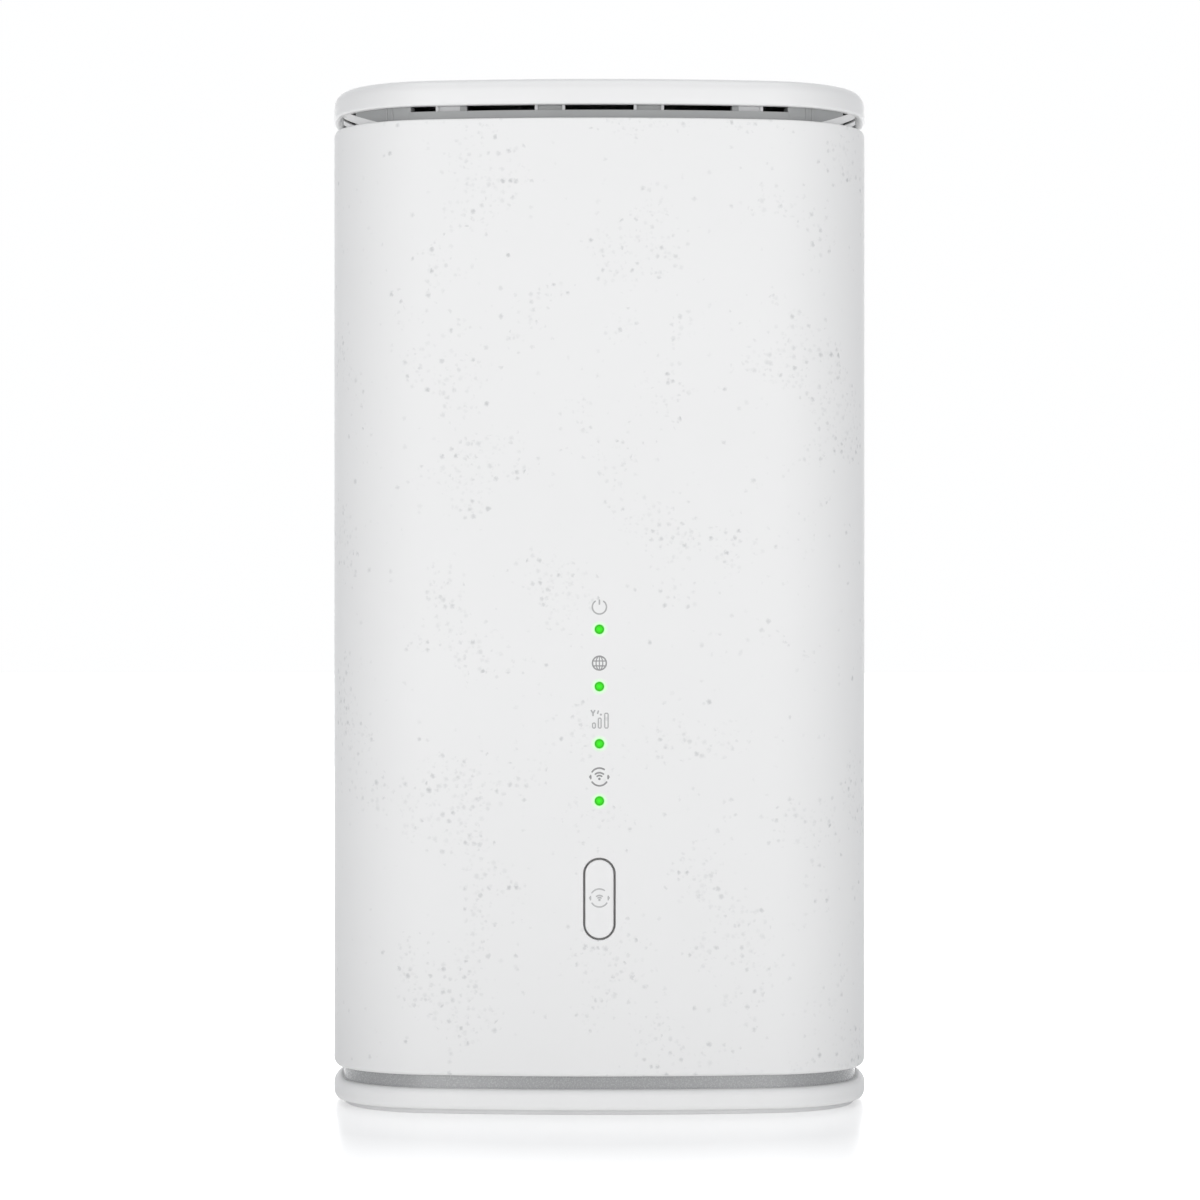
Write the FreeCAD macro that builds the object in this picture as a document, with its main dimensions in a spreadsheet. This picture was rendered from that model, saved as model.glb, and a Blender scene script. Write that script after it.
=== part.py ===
import FreeCAD, Part
import math
import os
from types import SimpleNamespace

import Sketcher

# A mesh wifi tower: a white sleeve stands on a weighted base, with a vented gap under its lid.
# Millimetres. The origin is on the table under the middle of the base, +Z is up and -Y is the front.
os.makedirs("parts", exist_ok=True)
doc = FreeCAD.newDocument("MeshWifiNode")
Vector = FreeCAD.Vector

DIMENSIONS = {
    # plan of the case: four pairs of arcs that meet tangent
    "overall_width": 130.0,
    "overall_depth": 88.0,
    "front_radius": 250.0,
    "side_radius": 120.0,
    "corner_radius": 27.0,
    # stack, from the table up
    "foot_height": 1.2,
    "base_height": 4.9,
    "neck_height": 3.1,
    "sleeve_height": 225.6,
    "vent_height": 3.2,
    "lid_height": 6.2,
    # case walls and how far each ring stands back from the case surface
    "sleeve_wall": 2.2,
    "neck_inset": 1.5,
    "vent_inset": 1.4,
    "spigot_inset": 2.4,
    "ring_wall": 2.0,
    "spigot_height": 5.0,
    "lid_skirt": 2.4,
    "lid_hollow": 3.5,
    "lid_top_round": 2.8,
    "lid_edge_round": 0.9,
    "sleeve_top_round": 0.8,
    "sleeve_bottom_round": 1.6,
    "base_top_round": 1.8,
    "base_bottom_round": 2.5,
    "baffle_thickness": 1.2,
    "baffle_inset": 4.8,
    # rubber foot, ballast and label under and over the base
    "foot_inset": 5.0,
    "foot_width": 5.0,
    "foot_sunk": 0.8,
    "weight_width": 76.0,
    "weight_depth": 48.0,
    "weight_height": 3.0,
    "label_width": 62.0,
    "label_depth": 34.0,
    "label_thickness": 0.2,
    # air slots in the vent ring and the neck
    "slot_width": 16.3,
    "slot_pitch": 23.5,
    "slot_height": 1.2,
    "end_slot_width": 6.5,
    "end_slot_place": 42.35,
    "corner_window_start_width": 52.6,
    "corner_window_start_depth": 20.5,
    "post_place_width": 57.0,
    "post_place_depth": 26.5,
    "post_radius": 0.95,
    "inlet_width": 12.0,
    "inlet_pitch": 16.0,
    "inlet_height": 1.5,
    # front lights
    "light_low": 74.1,
    "light_pitch": 13.45,
    "light_hole_radius": 1.05,
    "pipe_tip_radius": 1.0,
    "pipe_radius": 2.1,
    "lamp_width": 3.0,
    "lamp_height": 2.0,
    "lamp_thickness": 1.2,
    # front board with its shroud and its carrier
    "light_board_width": 20.0,
    "light_board_low": 30.0,
    "light_board_high": 122.0,
    "light_board_face": -33.2,
    "light_board_thickness": 1.2,
    "shroud_width": 16.0,
    "shroud_front": -41.3,
    "shroud_low": 66.0,
    "carrier_width": 24.0,
    "carrier_thickness": 1.6,
    "carrier_low": 38.0,
    "carrier_high": 126.0,
    "arm_height": 8.0,
    "arm_margin": 4.0,
    # front button
    "button_place": 51.05,
    "button_width": 6.66,
    "button_height": 18.4,
    "button_gap": 0.5,
    "button_flange_front": -41.2,
    "button_flange_thickness": 1.2,
    "button_flange_lip": 1.8,
    "button_boss_radius": 2.2,
    "guide_height": 27.0,
    "guide_gap": 0.3,
    "switch_size": 6.2,
    "switch_depth": 3.2,
    "plunger_radius": 1.7,
    "plunger_front": -37.4,
    "plunger_length": 1.8,
    "plunger_gap": 0.1,
    "plunger_bore_depth": 1.6,
    # side frames and the bridge over them
    "frame_place": 48.0,
    "frame_thickness": 2.0,
    "frame_depth": 62.0,
    "frame_top": 226.0,
    "frame_foot_width": 8.0,
    "frame_foot_depth": 48.0,
    "frame_foot_height": 6.0,
    "frame_head_height": 3.0,
    "window_depth": 46.0,
    "upper_window_low": 188.0,
    "upper_window_height": 26.0,
    "lower_window_low": 102.0,
    "lower_window_height": 14.0,
    "window_set_back": 2.0,
    "bridge_depth": 28.0,
    "bridge_thickness": 2.5,
    "lid_boss_place": 30.0,
    "lid_boss_radius": 3.5,
    # main board and what is on it
    "board_half_width": 47.5,
    "board_face": 14.0,
    "board_thickness": 1.6,
    "board_low": 14.0,
    "board_high": 184.0,
    "rail_width": 6.0,
    "rail_depth": 6.0,
    "board_screw_margin": 8.0,
    "chip_thickness": 1.6,
    "pad_thickness": 0.8,
    "sink_half_width": 38.0,
    "sink_low": 60.0,
    "sink_high": 160.0,
    "sink_plate": 3.0,
    "fin_thickness": 1.4,
    "fin_height": 15.0,
    "fin_pitch": 7.0,
    "sink_screw_place": 34.0,
    "sink_screw_margin": 4.0,
    "can_wall": 0.3,
    "can_height": 3.0,
    # modem card
    "modem_width": 30.0,
    "modem_low": 117.0,
    "modem_length": 52.0,
    "modem_thickness": 0.8,
    "modem_stand": 2.6,
    "modem_side_margin": 4.0,
    "modem_screw_margin": 2.5,
    "modem_socket_reach": 4.0,
    "modem_socket_grip": 3.0,
    "modem_socket_lip": 1.0,
    "shield_side_margin": 2.0,
    "shield_low_margin": 6.0,
    "shield_high_margin": 8.0,
    "shield_height": 2.0,
    # rear bay and its ports
    "bay_width": 60.0,
    "bay_height": 96.0,
    "bay_low": 14.0,
    "bay_round": 5.0,
    "bay_gap": 0.3,
    "panel_face": 36.0,
    "panel_thickness": 2.0,
    "panel_half_width": 46.0,
    "panel_low": 15.0,
    "panel_high": 113.0,
    "panel_rim": 1.8,
    "panel_sunk": 0.3,
    "tab_height": 8.0,
    "tab_width": 10.0,
    "tab_thickness": 3.0,
    "panel_screw_place": 42.0,
    "panel_screw_margin": 9.0,
    "port_gap": 0.3,
    "jack_width": 16.2,
    "jack_height": 14.0,
    "jack_place": 11.0,
    "jack_level": 50.0,
    "jack_mouth_width": 11.8,
    "jack_mouth_height": 7.0,
    "jack_mouth_depth": 14.0,
    "latch_width": 6.4,
    "latch_height": 2.4,
    "low_port_level": 28.0,
    "side_port_place": 18.0,
    "dc_size": 10.0,
    "dc_bore_radius": 3.2,
    "dc_pin_radius": 1.0,
    "dc_bore_depth": 11.0,
    "dc_pin_sunk": 1.0,
    "usb_width": 9.6,
    "usb_height": 4.0,
    "usb_mouth_width": 8.4,
    "usb_mouth_height": 2.6,
    "usb_mouth_depth": 7.0,
    "usb_tongue_height": 0.7,
    "usb_tongue_margin": 0.8,
    "usb_tongue_sunk": 1.0,
    # push buttons at the rear
    "power_level": 74.0,
    "power_radius": 4.4,
    "power_proud": 1.4,
    "power_flange_radius": 5.8,
    "power_flange_thickness": 1.2,
    "power_flange_set_back": 2.0,
    "power_stem_radius": 3.0,
    "power_stem_grip": 2.5,
    "power_gap": 0.4,
    "power_switch_size": 11.0,
    "power_switch_length": 12.0,
    "power_bore_gap": 0.2,
    "power_bore_depth": 4.5,
    "reset_hole_radius": 0.9,
    "reset_radius": 1.6,
    "reset_gap": 0.1,
    "reset_length": 5.5,
    "reset_grip": 2.6,
    "reset_switch_size": 6.0,
    "reset_switch_length": 13.0,
    "reset_bore_depth": 3.6,
    # sim tray
    "sim_level": 94.0,
    "tray_width": 11.0,
    "tray_length": 15.0,
    "tray_thickness": 1.0,
    "tray_gap": 0.25,
    "tray_end_bar": 1.0,
    "tray_face_width": 15.0,
    "tray_face_height": 3.4,
    "tray_face_thickness": 1.2,
    "sim_width": 8.8,
    "sim_length": 12.3,
    "sim_thickness": 0.7,
    "sim_socket_width": 15.0,
    "sim_socket_height": 3.6,
    # aerials and their leads
    "aerial_thickness": 0.5,
    "cell_aerial_depth": 34.0,
    "cell_aerial_height": 60.0,
    "cell_aerial_upper": 122.0,
    "cell_aerial_lower": 36.0,
    "aerial_margin": 2.0,
    "cell_notch_place": 6.0,
    "cell_notch_width": 4.0,
    "cell_notch_bridge": 12.0,
    "cell_slot_place": 18.0,
    "cell_slot_low": 14.0,
    "cell_slot_bridge": 26.0,
    "cell_slot_edge": 4.0,
    "wifi_aerial_depth": 15.0,
    "wifi_aerial_height": 30.0,
    "wifi_aerial_low": 142.0,
    "wifi_notch_place": 4.0,
    "wifi_notch_width": 3.0,
    "wifi_notch_bridge": 8.0,
    "feed_margin": 4.0,
    "lead_radius": 0.6,
    "lead_bend": 4.0,
    "plug_radius": 1.4,
    "plug_height": 2.4,
    "plug_margin": 3.0,
    "upper_lead_place": 5.0,
    "lower_lead_place": 12.0,
    "lower_lead_riser": 37.0,
    "lower_lead_drop": 9.0,
    "wifi_lead_place": 34.0,
    "wifi_lead_front": -20.0,
    # ribbon between the two boards
    "ribbon_width": 10.0,
    "ribbon_thickness": 0.3,
    "ribbon_level": 18.0,
    "ribbon_socket_width": 13.0,
    "ribbon_socket_depth": 2.0,
    "ribbon_socket_height": 4.0,
    "front_ribbon_margin": 1.0,
    "rear_ribbon_margin": 10.0,
    # screws
    "screw_radius": 1.25,
    "screw_head_radius": 2.3,
    "screw_head_height": 1.2,
    "screw_length": 7.0,
    "base_screw_place": 44.0,
    "base_screw_depth": 16.0,
    "base_screw_sunk": 2.2,
}


class Size:
    """A length that carries its number and the sheet formula that it comes from."""

    def __init__(self, value, formula):
        self.value = value
        self.formula = formula

    def __add__(self, other):
        other = size(other)
        return Size(self.value + other.value, f"({self.formula} + {other.formula})")

    def __sub__(self, other):
        other = size(other)
        return Size(self.value - other.value, f"({self.formula} - {other.formula})")

    def __mul__(self, other):
        other = size(other)
        return Size(self.value * other.value, f"({self.formula} * {other.formula})")

    def __truediv__(self, other):
        other = size(other)
        return Size(self.value / other.value, f"({self.formula} / {other.formula})")

    def __radd__(self, other):
        return size(other) + self

    def __rsub__(self, other):
        return size(other) - self

    def __rmul__(self, other):
        return size(other) * self

    def __neg__(self):
        return Size(-self.value, f"(0 - {self.formula})")


def size(number):
    """Gives a plain number the form of a Size."""
    if isinstance(number, Size):
        return number
    return Size(float(number), f"({float(number)})")


def make_sheet():
    """Writes the driving dimensions into the sheet and hands them back by name."""
    sheet = doc.addObject("Spreadsheet::Sheet", "Dims")
    sizes = {}
    for row, (name, value) in enumerate(DIMENSIONS.items(), start=1):
        sheet.set(f"A{row}", name)
        sheet.set(f"B{row}", str(value))
        sheet.setAlias(f"B{row}", name)
        sizes[name] = Size(value, f"Dims.{name}")
    doc.recompute()
    return SimpleNamespace(**sizes)


dim = make_sheet()
FAR = dim.overall_width

base_low = dim.foot_height
base_high = base_low + dim.base_height
sleeve_low = base_high + dim.neck_height
sleeve_high = sleeve_low + dim.sleeve_height
lid_low = sleeve_high + dim.vent_height
lid_high = lid_low + dim.lid_height
board_back = dim.board_face + dim.board_thickness
panel_back = dim.panel_face - dim.panel_thickness
light_levels = [dim.light_low + dim.light_pitch * (3 - number) for number in range(4)]
nodes = []


# ---------------------------------------------------------------- helpers: plain solids


def bind(thing, setting, length):
    """Binds one setting of an object to a formula of the sheet."""
    thing.setExpression(setting, size(length).formula)


TURNS = {
    "x": FreeCAD.Rotation(Vector(0, 1, 0), 90),
    "y": FreeCAD.Rotation(Vector(1, 0, 0), -90),
    "z": FreeCAD.Rotation(),
}


def place(thing, corner):
    """Puts an object at a place given by three lengths."""
    for letter, length in zip("xyz", corner):
        bind(thing, f"Placement.Base.{letter}", length)


def box(name, low, high):
    """A block between two opposite corners."""
    thing = doc.addObject("Part::Box", name)
    for setting, start, stop in zip(("Length", "Width", "Height"), low, high):
        bind(thing, setting, size(stop) - start)
    place(thing, low)
    return thing


def rod(name, radius, start, length, along="z"):
    """A round rod that starts at a place and runs along +X, +Y or +Z."""
    thing = doc.addObject("Part::Cylinder", name)
    thing.Placement.Rotation = TURNS[along]
    bind(thing, "Radius", radius)
    bind(thing, "Height", length)
    place(thing, start)
    return thing


def joined(name, *pieces):
    """Several overlapping or touching solids fused into one."""
    thing = doc.addObject("Part::MultiFuse", name)
    thing.Shapes = list(pieces)
    thing.Refine = True
    return thing


def gathered(name, *pieces):
    """Several separate solids kept apart under one name."""
    thing = doc.addObject("Part::Compound", name)
    thing.Links = list(pieces)
    return thing


def shared(name, *pieces):
    """What several solids have in common."""
    thing = doc.addObject("Part::MultiCommon", name)
    thing.Shapes = list(pieces)
    return thing


def cut(name, blank, *tools):
    """A blank with tools taken away."""
    thing = doc.addObject("Part::Cut", name)
    thing.Base = blank
    thing.Tool = tools[0] if len(tools) == 1 else gathered(f"{name}_tools", *tools)
    return thing


def node(thing, label):
    """Marks an object as a sub-part of the product."""
    thing.Label = label
    nodes.append(thing)
    return thing


# ---------------------------------------------------------------- helpers: sketched bodies


def sketch(body, role, name, offset=0):
    """A sketch on one of the body's own origin planes, moved along the plane's normal."""
    drawing = body.newObject("Sketcher::SketchObject", name)
    plane = next(feature for feature in body.Origin.OriginFeatures if feature.Role == role)
    drawing.AttachmentSupport = [(plane, "")]
    drawing.MapMode = "FlatFace"
    bind(drawing, "AttachmentOffset.Base.z", offset)
    return drawing


def hold(drawing, kind, *terms):
    """Adds a dimension whose last term is a length bound to the sheet."""
    *places, length = terms
    index = drawing.addConstraint(Sketcher.Constraint(kind, *places, size(length).value))
    bind(drawing, f"Constraints[{index}]", length)


def draw_case_outline(drawing, inset):
    """Draws the case plan as eight tangent arcs, all moved inward by the inset."""
    half_width = dim.overall_width / 2
    half_depth = dim.overall_depth / 2
    side_shift = dim.side_radius - half_width
    front_shift = dim.front_radius - half_depth
    corner = dim.corner_radius.value
    upward = Vector(0, 0, 1)
    front_circle = Part.Circle(Vector(0, -front_shift.value, 0), upward, dim.front_radius.value - corner)
    side_circle = Part.Circle(Vector(-side_shift.value, 0, 0), upward, dim.side_radius.value - corner)
    middle = max(front_circle.intersect(side_circle), key=lambda point: point.X + point.Y)
    side_sweep = math.atan2(middle.Y, middle.X + side_shift.value)
    front_sweep = math.atan2(middle.X, middle.Y + front_shift.value)
    quarter = math.pi / 2
    steps = [-side_sweep, side_sweep, quarter - front_sweep, quarter + front_sweep]
    angles = steps + [step + 2 * quarter for step in steps] + [4 * quarter - side_sweep]
    centres = [
        (-side_shift.value, 0, dim.side_radius),
        (middle.X, middle.Y, dim.corner_radius),
        (0, -front_shift.value, dim.front_radius),
        (-middle.X, middle.Y, dim.corner_radius),
        (side_shift.value, 0, dim.side_radius),
        (-middle.X, -middle.Y, dim.corner_radius),
        (0, front_shift.value, dim.front_radius),
        (middle.X, -middle.Y, dim.corner_radius),
    ]
    for (across, along, radius), start, stop in zip(centres, angles, angles[1:]):
        circle = Part.Circle(Vector(across, along, 0), upward, (radius - inset).value)
        drawing.addGeometry(Part.ArcOfCircle(circle, start, stop), False)
    for arc in range(8):
        drawing.addConstraint(Sketcher.Constraint("Tangent", arc, 2, (arc + 1) % 8, 1))
    for arc, axis in ((0, -1), (4, -1), (2, -2), (6, -2)):
        drawing.addConstraint(Sketcher.Constraint("PointOnObject", arc, 3, axis))
    for arc, twin in ((1, 3), (1, 5), (1, 7), (2, 6), (0, 4)):
        drawing.addConstraint(Sketcher.Constraint("Equal", arc, twin))
    for arc in range(3):
        hold(drawing, "Radius", arc, centres[arc][2] - inset)
    hold(drawing, "DistanceX", 0, 3, -1, 1, side_shift)
    hold(drawing, "DistanceX", -1, 1, 4, 3, side_shift)
    hold(drawing, "DistanceY", 2, 3, -1, 1, front_shift)
    hold(drawing, "DistanceY", -1, 1, 6, 3, front_shift)


def draw_rectangle(drawing, left, low, width, height):
    """Draws one rectangle by its low left corner."""
    left, low, width, height = size(left), size(low), size(width), size(height)
    right, high = left + width, low + height
    outline = [(left, low), (right, low), (right, high), (left, high)]
    corners = [Vector(across.value, up.value, 0) for across, up in outline]
    first = drawing.GeometryCount
    for number in range(4):
        line = Part.LineSegment(corners[number], corners[(number + 1) % 4])
        drawing.addGeometry(line, False)
    for number in range(4):
        join = Sketcher.Constraint("Coincident", first + number, 2, first + (number + 1) % 4, 1)
        drawing.addConstraint(join)
        level = "Horizontal" if number % 2 == 0 else "Vertical"
        drawing.addConstraint(Sketcher.Constraint(level, first + number))
    hold(drawing, "DistanceX", -1, 1, first, 1, left)
    hold(drawing, "DistanceY", -1, 1, first, 1, low)
    hold(drawing, "DistanceX", first, 1, first, 2, width)
    hold(drawing, "DistanceY", first + 1, 1, first + 1, 2, height)


def draw_circle(drawing, across, up, radius):
    """Draws one circle by its centre."""
    across, up, radius = size(across), size(up), size(radius)
    circle = Part.Circle(Vector(across.value, up.value, 0), Vector(0, 0, 1), radius.value)
    number = drawing.addGeometry(circle, False)
    if across.value:
        hold(drawing, "DistanceX", -1, 1, number, 3, across)
    else:
        drawing.addConstraint(Sketcher.Constraint("PointOnObject", number, 3, -2))
    hold(drawing, "DistanceY", -1, 1, number, 3, up)
    hold(drawing, "Radius", number, radius)


def draw_pill(drawing, up, width, height):
    """Draws an upright slot with round ends, centred on the vertical axis."""
    up, radius, height = size(up), size(width) / 2, size(height)
    reach = height / 2 - radius
    top, bottom, side = (up + reach).value, (up - reach).value, radius.value
    upper = Part.Circle(Vector(0, top, 0), Vector(0, 0, 1), side)
    lower = Part.Circle(Vector(0, bottom, 0), Vector(0, 0, 1), side)
    drawing.addGeometry(Part.ArcOfCircle(upper, 0, math.pi), False)
    drawing.addGeometry(Part.LineSegment(Vector(-side, top, 0), Vector(-side, bottom, 0)), False)
    drawing.addGeometry(Part.ArcOfCircle(lower, math.pi, 2 * math.pi), False)
    drawing.addGeometry(Part.LineSegment(Vector(side, bottom, 0), Vector(side, top, 0)), False)
    for number in range(4):
        drawing.addConstraint(Sketcher.Constraint("Tangent", number, 2, (number + 1) % 4, 1))
    drawing.addConstraint(Sketcher.Constraint("PointOnObject", 0, 3, -2))
    drawing.addConstraint(Sketcher.Constraint("PointOnObject", 2, 3, -2))
    hold(drawing, "Radius", 0, radius)
    hold(drawing, "DistanceY", -1, 1, 0, 3, up + reach)
    hold(drawing, "DistanceY", -1, 1, 2, 3, up - reach)


def grow(body, drawing, length, backwards=False):
    """Pads a sketch and makes sure that the body gained volume."""
    return feature(body, "PartDesign::Pad", drawing, length, backwards)


def sink(body, drawing, length, backwards=False):
    """Pockets a sketch and makes sure that the body lost volume."""
    return feature(body, "PartDesign::Pocket", drawing, length, backwards)


def feature(body, kind, drawing, length, backwards):
    """Adds a pad or a pocket and compares the body's volume before and after."""
    before = body.Shape.Volume if body.Tip else 0.0
    made = body.newObject(kind, f"{drawing.Name}_{kind[12:].lower()}")
    made.Profile = drawing
    made.Reversed = backwards
    bind(made, "Length", length)
    drawing.Visibility = False
    doc.recompute()
    change = made.Shape.Volume - before
    if (change <= 0) == (kind == "PartDesign::Pad"):
        raise ValueError(f"{made.Name} changed the volume by {change:.3f}")
    return made


def round_rim(body, level, inset, radius):
    """Rounds the outline edges that lie at one level and one inset."""
    last = body.Tip
    radii = [(length - inset).value for length in (dim.front_radius, dim.side_radius, dim.corner_radius)]
    names = []
    for number, edge in enumerate(last.Shape.Edges, start=1):
        bounds = edge.BoundBox
        flat = abs(bounds.ZMin - level.value) < 1e-4 and abs(bounds.ZMax - level.value) < 1e-4
        if flat and isinstance(edge.Curve, Part.Circle):
            if min(abs(edge.Curve.Radius - wanted) for wanted in radii) < 1e-4:
                names.append(f"Edge{number}")
    rounded = body.newObject("PartDesign::Fillet", f"{body.Name}_round_{len(body.Group)}")
    rounded.Base = (last, names)
    bind(rounded, "Radius", radius)
    doc.recompute()
    return rounded


def case_ring(body, name, low, height, inset, backwards=False):
    """A slab of the case plan at one inset, padded up from a level."""
    drawing = sketch(body, "XY_Plane", name, low)
    draw_case_outline(drawing, size(inset))
    return grow(body, drawing, height, backwards)


def case_hollow(body, name, low, height, inset):
    """The case plan at one inset, pocketed up from a level."""
    drawing = sketch(body, "XY_Plane", name, low)
    draw_case_outline(drawing, size(inset))
    return sink(body, drawing, height, True)


def new_body(label):
    """An empty sketched body that is a sub-part."""
    return node(doc.addObject("PartDesign::Body", label), label)


def case_block(name, inset):
    """A tall block of the case plan, for trimming pieces to the case's curve."""
    body = doc.addObject("PartDesign::Body", name)
    case_ring(body, f"{name}_plan", 0, lid_high, inset)
    return body


# ---------------------------------------------------------------- base


def make_base():
    """Base plate, its rubber foot, the ballast over it and the blank label under it."""
    plate = new_body("base_plate")
    case_ring(plate, "base_plan", base_low, dim.base_height, 0)
    groove = sketch(plate, "XY_Plane", "foot_groove", base_low)
    draw_case_outline(groove, dim.foot_inset)
    sink(plate, groove, dim.foot_sunk, True)
    island = sketch(plate, "XY_Plane", "foot_island", base_low)
    draw_case_outline(island, dim.foot_inset + dim.foot_width)
    grow(plate, island, dim.foot_sunk)
    round_rim(plate, base_high, 0, dim.base_top_round)
    round_rim(plate, base_low, 0, dim.base_bottom_round)
    heads = sketch(plate, "XY_Plane", "screw_heads", base_low)
    holes = sketch(plate, "XY_Plane", "screw_holes", base_low)
    for across in (-dim.base_screw_place, dim.base_screw_place):
        for along in (-dim.base_screw_depth, dim.base_screw_depth):
            draw_circle(heads, across, along, dim.screw_head_radius + dim.port_gap)
            draw_circle(holes, across, along, dim.screw_radius)
    sink(plate, heads, dim.base_screw_sunk, True)
    sink(plate, holes, dim.base_height, True)

    foot = new_body("rubber_foot")
    case_ring(foot, "foot_plan", 0, dim.foot_height + dim.foot_sunk, dim.foot_inset)
    case_hollow(foot, "foot_hollow", 0, dim.foot_height + dim.foot_sunk, dim.foot_inset + dim.foot_width)

    half_width, half_depth = dim.weight_width / 2, dim.weight_depth / 2
    low = (-half_width, -half_depth, base_high)
    high = (half_width, half_depth, base_high + dim.weight_height)
    node(box("base_weight", low, high), "base_weight")

    half_width, half_depth = dim.label_width / 2, dim.label_depth / 2
    low = (-half_width, -half_depth, base_low - dim.label_thickness)
    high = (half_width, half_depth, base_low)
    node(box("product_label", low, high), "product_label")


def make_neck():
    """Grey neck ring between base and sleeve, with air inlets at its sides and rear."""
    neck = new_body("base_neck")
    case_ring(neck, "neck_plan", base_high, dim.neck_height, dim.neck_inset)
    case_ring(neck, "neck_spigot", sleeve_low, dim.spigot_height, dim.spigot_inset)
    hollow = dim.neck_height + dim.spigot_height
    case_hollow(neck, "neck_hollow", base_high, hollow, dim.spigot_inset + dim.ring_wall)
    inlet_low = base_high + (dim.neck_height - dim.inlet_height) / 2
    rear = sketch(neck, "XZ_Plane", "rear_inlets")
    side = sketch(neck, "YZ_Plane", "side_inlets", -FAR)
    for step in range(-2, 3):
        left = dim.inlet_pitch * step - dim.inlet_width / 2
        draw_rectangle(rear, left, inlet_low, dim.inlet_width, dim.inlet_height)
    for step in range(-1, 2):
        left = dim.inlet_pitch * step - dim.inlet_width / 2
        draw_rectangle(side, left, inlet_low, dim.inlet_width, dim.inlet_height)
    sink(neck, rear, FAR)
    sink(neck, side, FAR * 2, True)


# ---------------------------------------------------------------- outer case


def make_sleeve():
    """White sleeve with light holes and a button hole in front and a port bay behind."""
    sleeve = new_body("outer_sleeve")
    case_ring(sleeve, "sleeve_plan", sleeve_low, dim.sleeve_height, 0)
    case_hollow(sleeve, "sleeve_hollow", sleeve_low, dim.sleeve_height, dim.sleeve_wall)
    round_rim(sleeve, sleeve_high, 0, dim.sleeve_top_round)
    round_rim(sleeve, sleeve_low, 0, dim.sleeve_bottom_round)
    lights = sketch(sleeve, "XZ_Plane", "light_holes")
    for level in light_levels:
        draw_circle(lights, 0, level, dim.light_hole_radius)
    sink(sleeve, lights, FAR, True)
    button = sketch(sleeve, "XZ_Plane", "button_hole")
    gap = dim.button_gap * 2
    draw_pill(button, dim.button_place, dim.button_width + gap, dim.button_height + gap)
    sink(sleeve, button, FAR, True)
    bay = sketch(sleeve, "XZ_Plane", "port_bay")
    draw_rectangle(bay, -dim.bay_width / 2, dim.bay_low, dim.bay_width, dim.bay_height)
    sink(sleeve, bay, FAR)
    last = sleeve.Tip
    corners = []
    for number, edge in enumerate(last.Shape.Edges, start=1):
        bounds = edge.BoundBox
        thin = max(bounds.XLength, bounds.ZLength) < 1e-4
        if thin and bounds.YMin > 0 and bounds.YLength > 0.5:
            corners.append(f"Edge{number}")
    rounded = sleeve.newObject("PartDesign::Fillet", "bay_round")
    rounded.Base = (last, corners)
    bind(rounded, "Radius", dim.bay_round)
    doc.recompute()


def make_vent_ring():
    """Grey ring that holds the lid off the sleeve, slotted under the lid and open at the corners."""
    ring = new_body("vent_ring")
    case_ring(ring, "vent_plan", sleeve_high, dim.vent_height, dim.vent_inset)
    case_ring(ring, "vent_spigot", sleeve_high, dim.spigot_height, dim.spigot_inset, True)
    low = sleeve_high - dim.spigot_height
    height = dim.vent_height + dim.spigot_height
    case_hollow(ring, "vent_hollow", low, height, dim.spigot_inset + dim.ring_wall)
    slots = sketch(ring, "XY_Plane", "vent_slots", lid_low - dim.slot_height)
    middles = [dim.slot_pitch * step for step in (-1, 0, 1)]
    for middle in middles:
        draw_rectangle(slots, middle - dim.slot_width / 2, -FAR, dim.slot_width, FAR * 2)
    for middle in (-dim.end_slot_place, dim.end_slot_place):
        draw_rectangle(slots, middle - dim.end_slot_width / 2, -FAR, dim.end_slot_width, FAR * 2)
    sink(ring, slots, dim.slot_height, True)
    sides = sketch(ring, "XY_Plane", "side_slots", lid_low - dim.slot_height)
    draw_rectangle(sides, -FAR, -dim.slot_width / 2, FAR * 2, dim.slot_width)
    sink(ring, sides, dim.slot_height, True)
    windows = sketch(ring, "XY_Plane", "corner_windows", sleeve_high)
    for left in (dim.corner_window_start_width, -dim.corner_window_start_width - FAR):
        for front in (dim.corner_window_start_depth, -dim.corner_window_start_depth - FAR):
            draw_rectangle(windows, left, front, FAR, FAR)
    sink(ring, windows, dim.vent_height, True)


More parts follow.
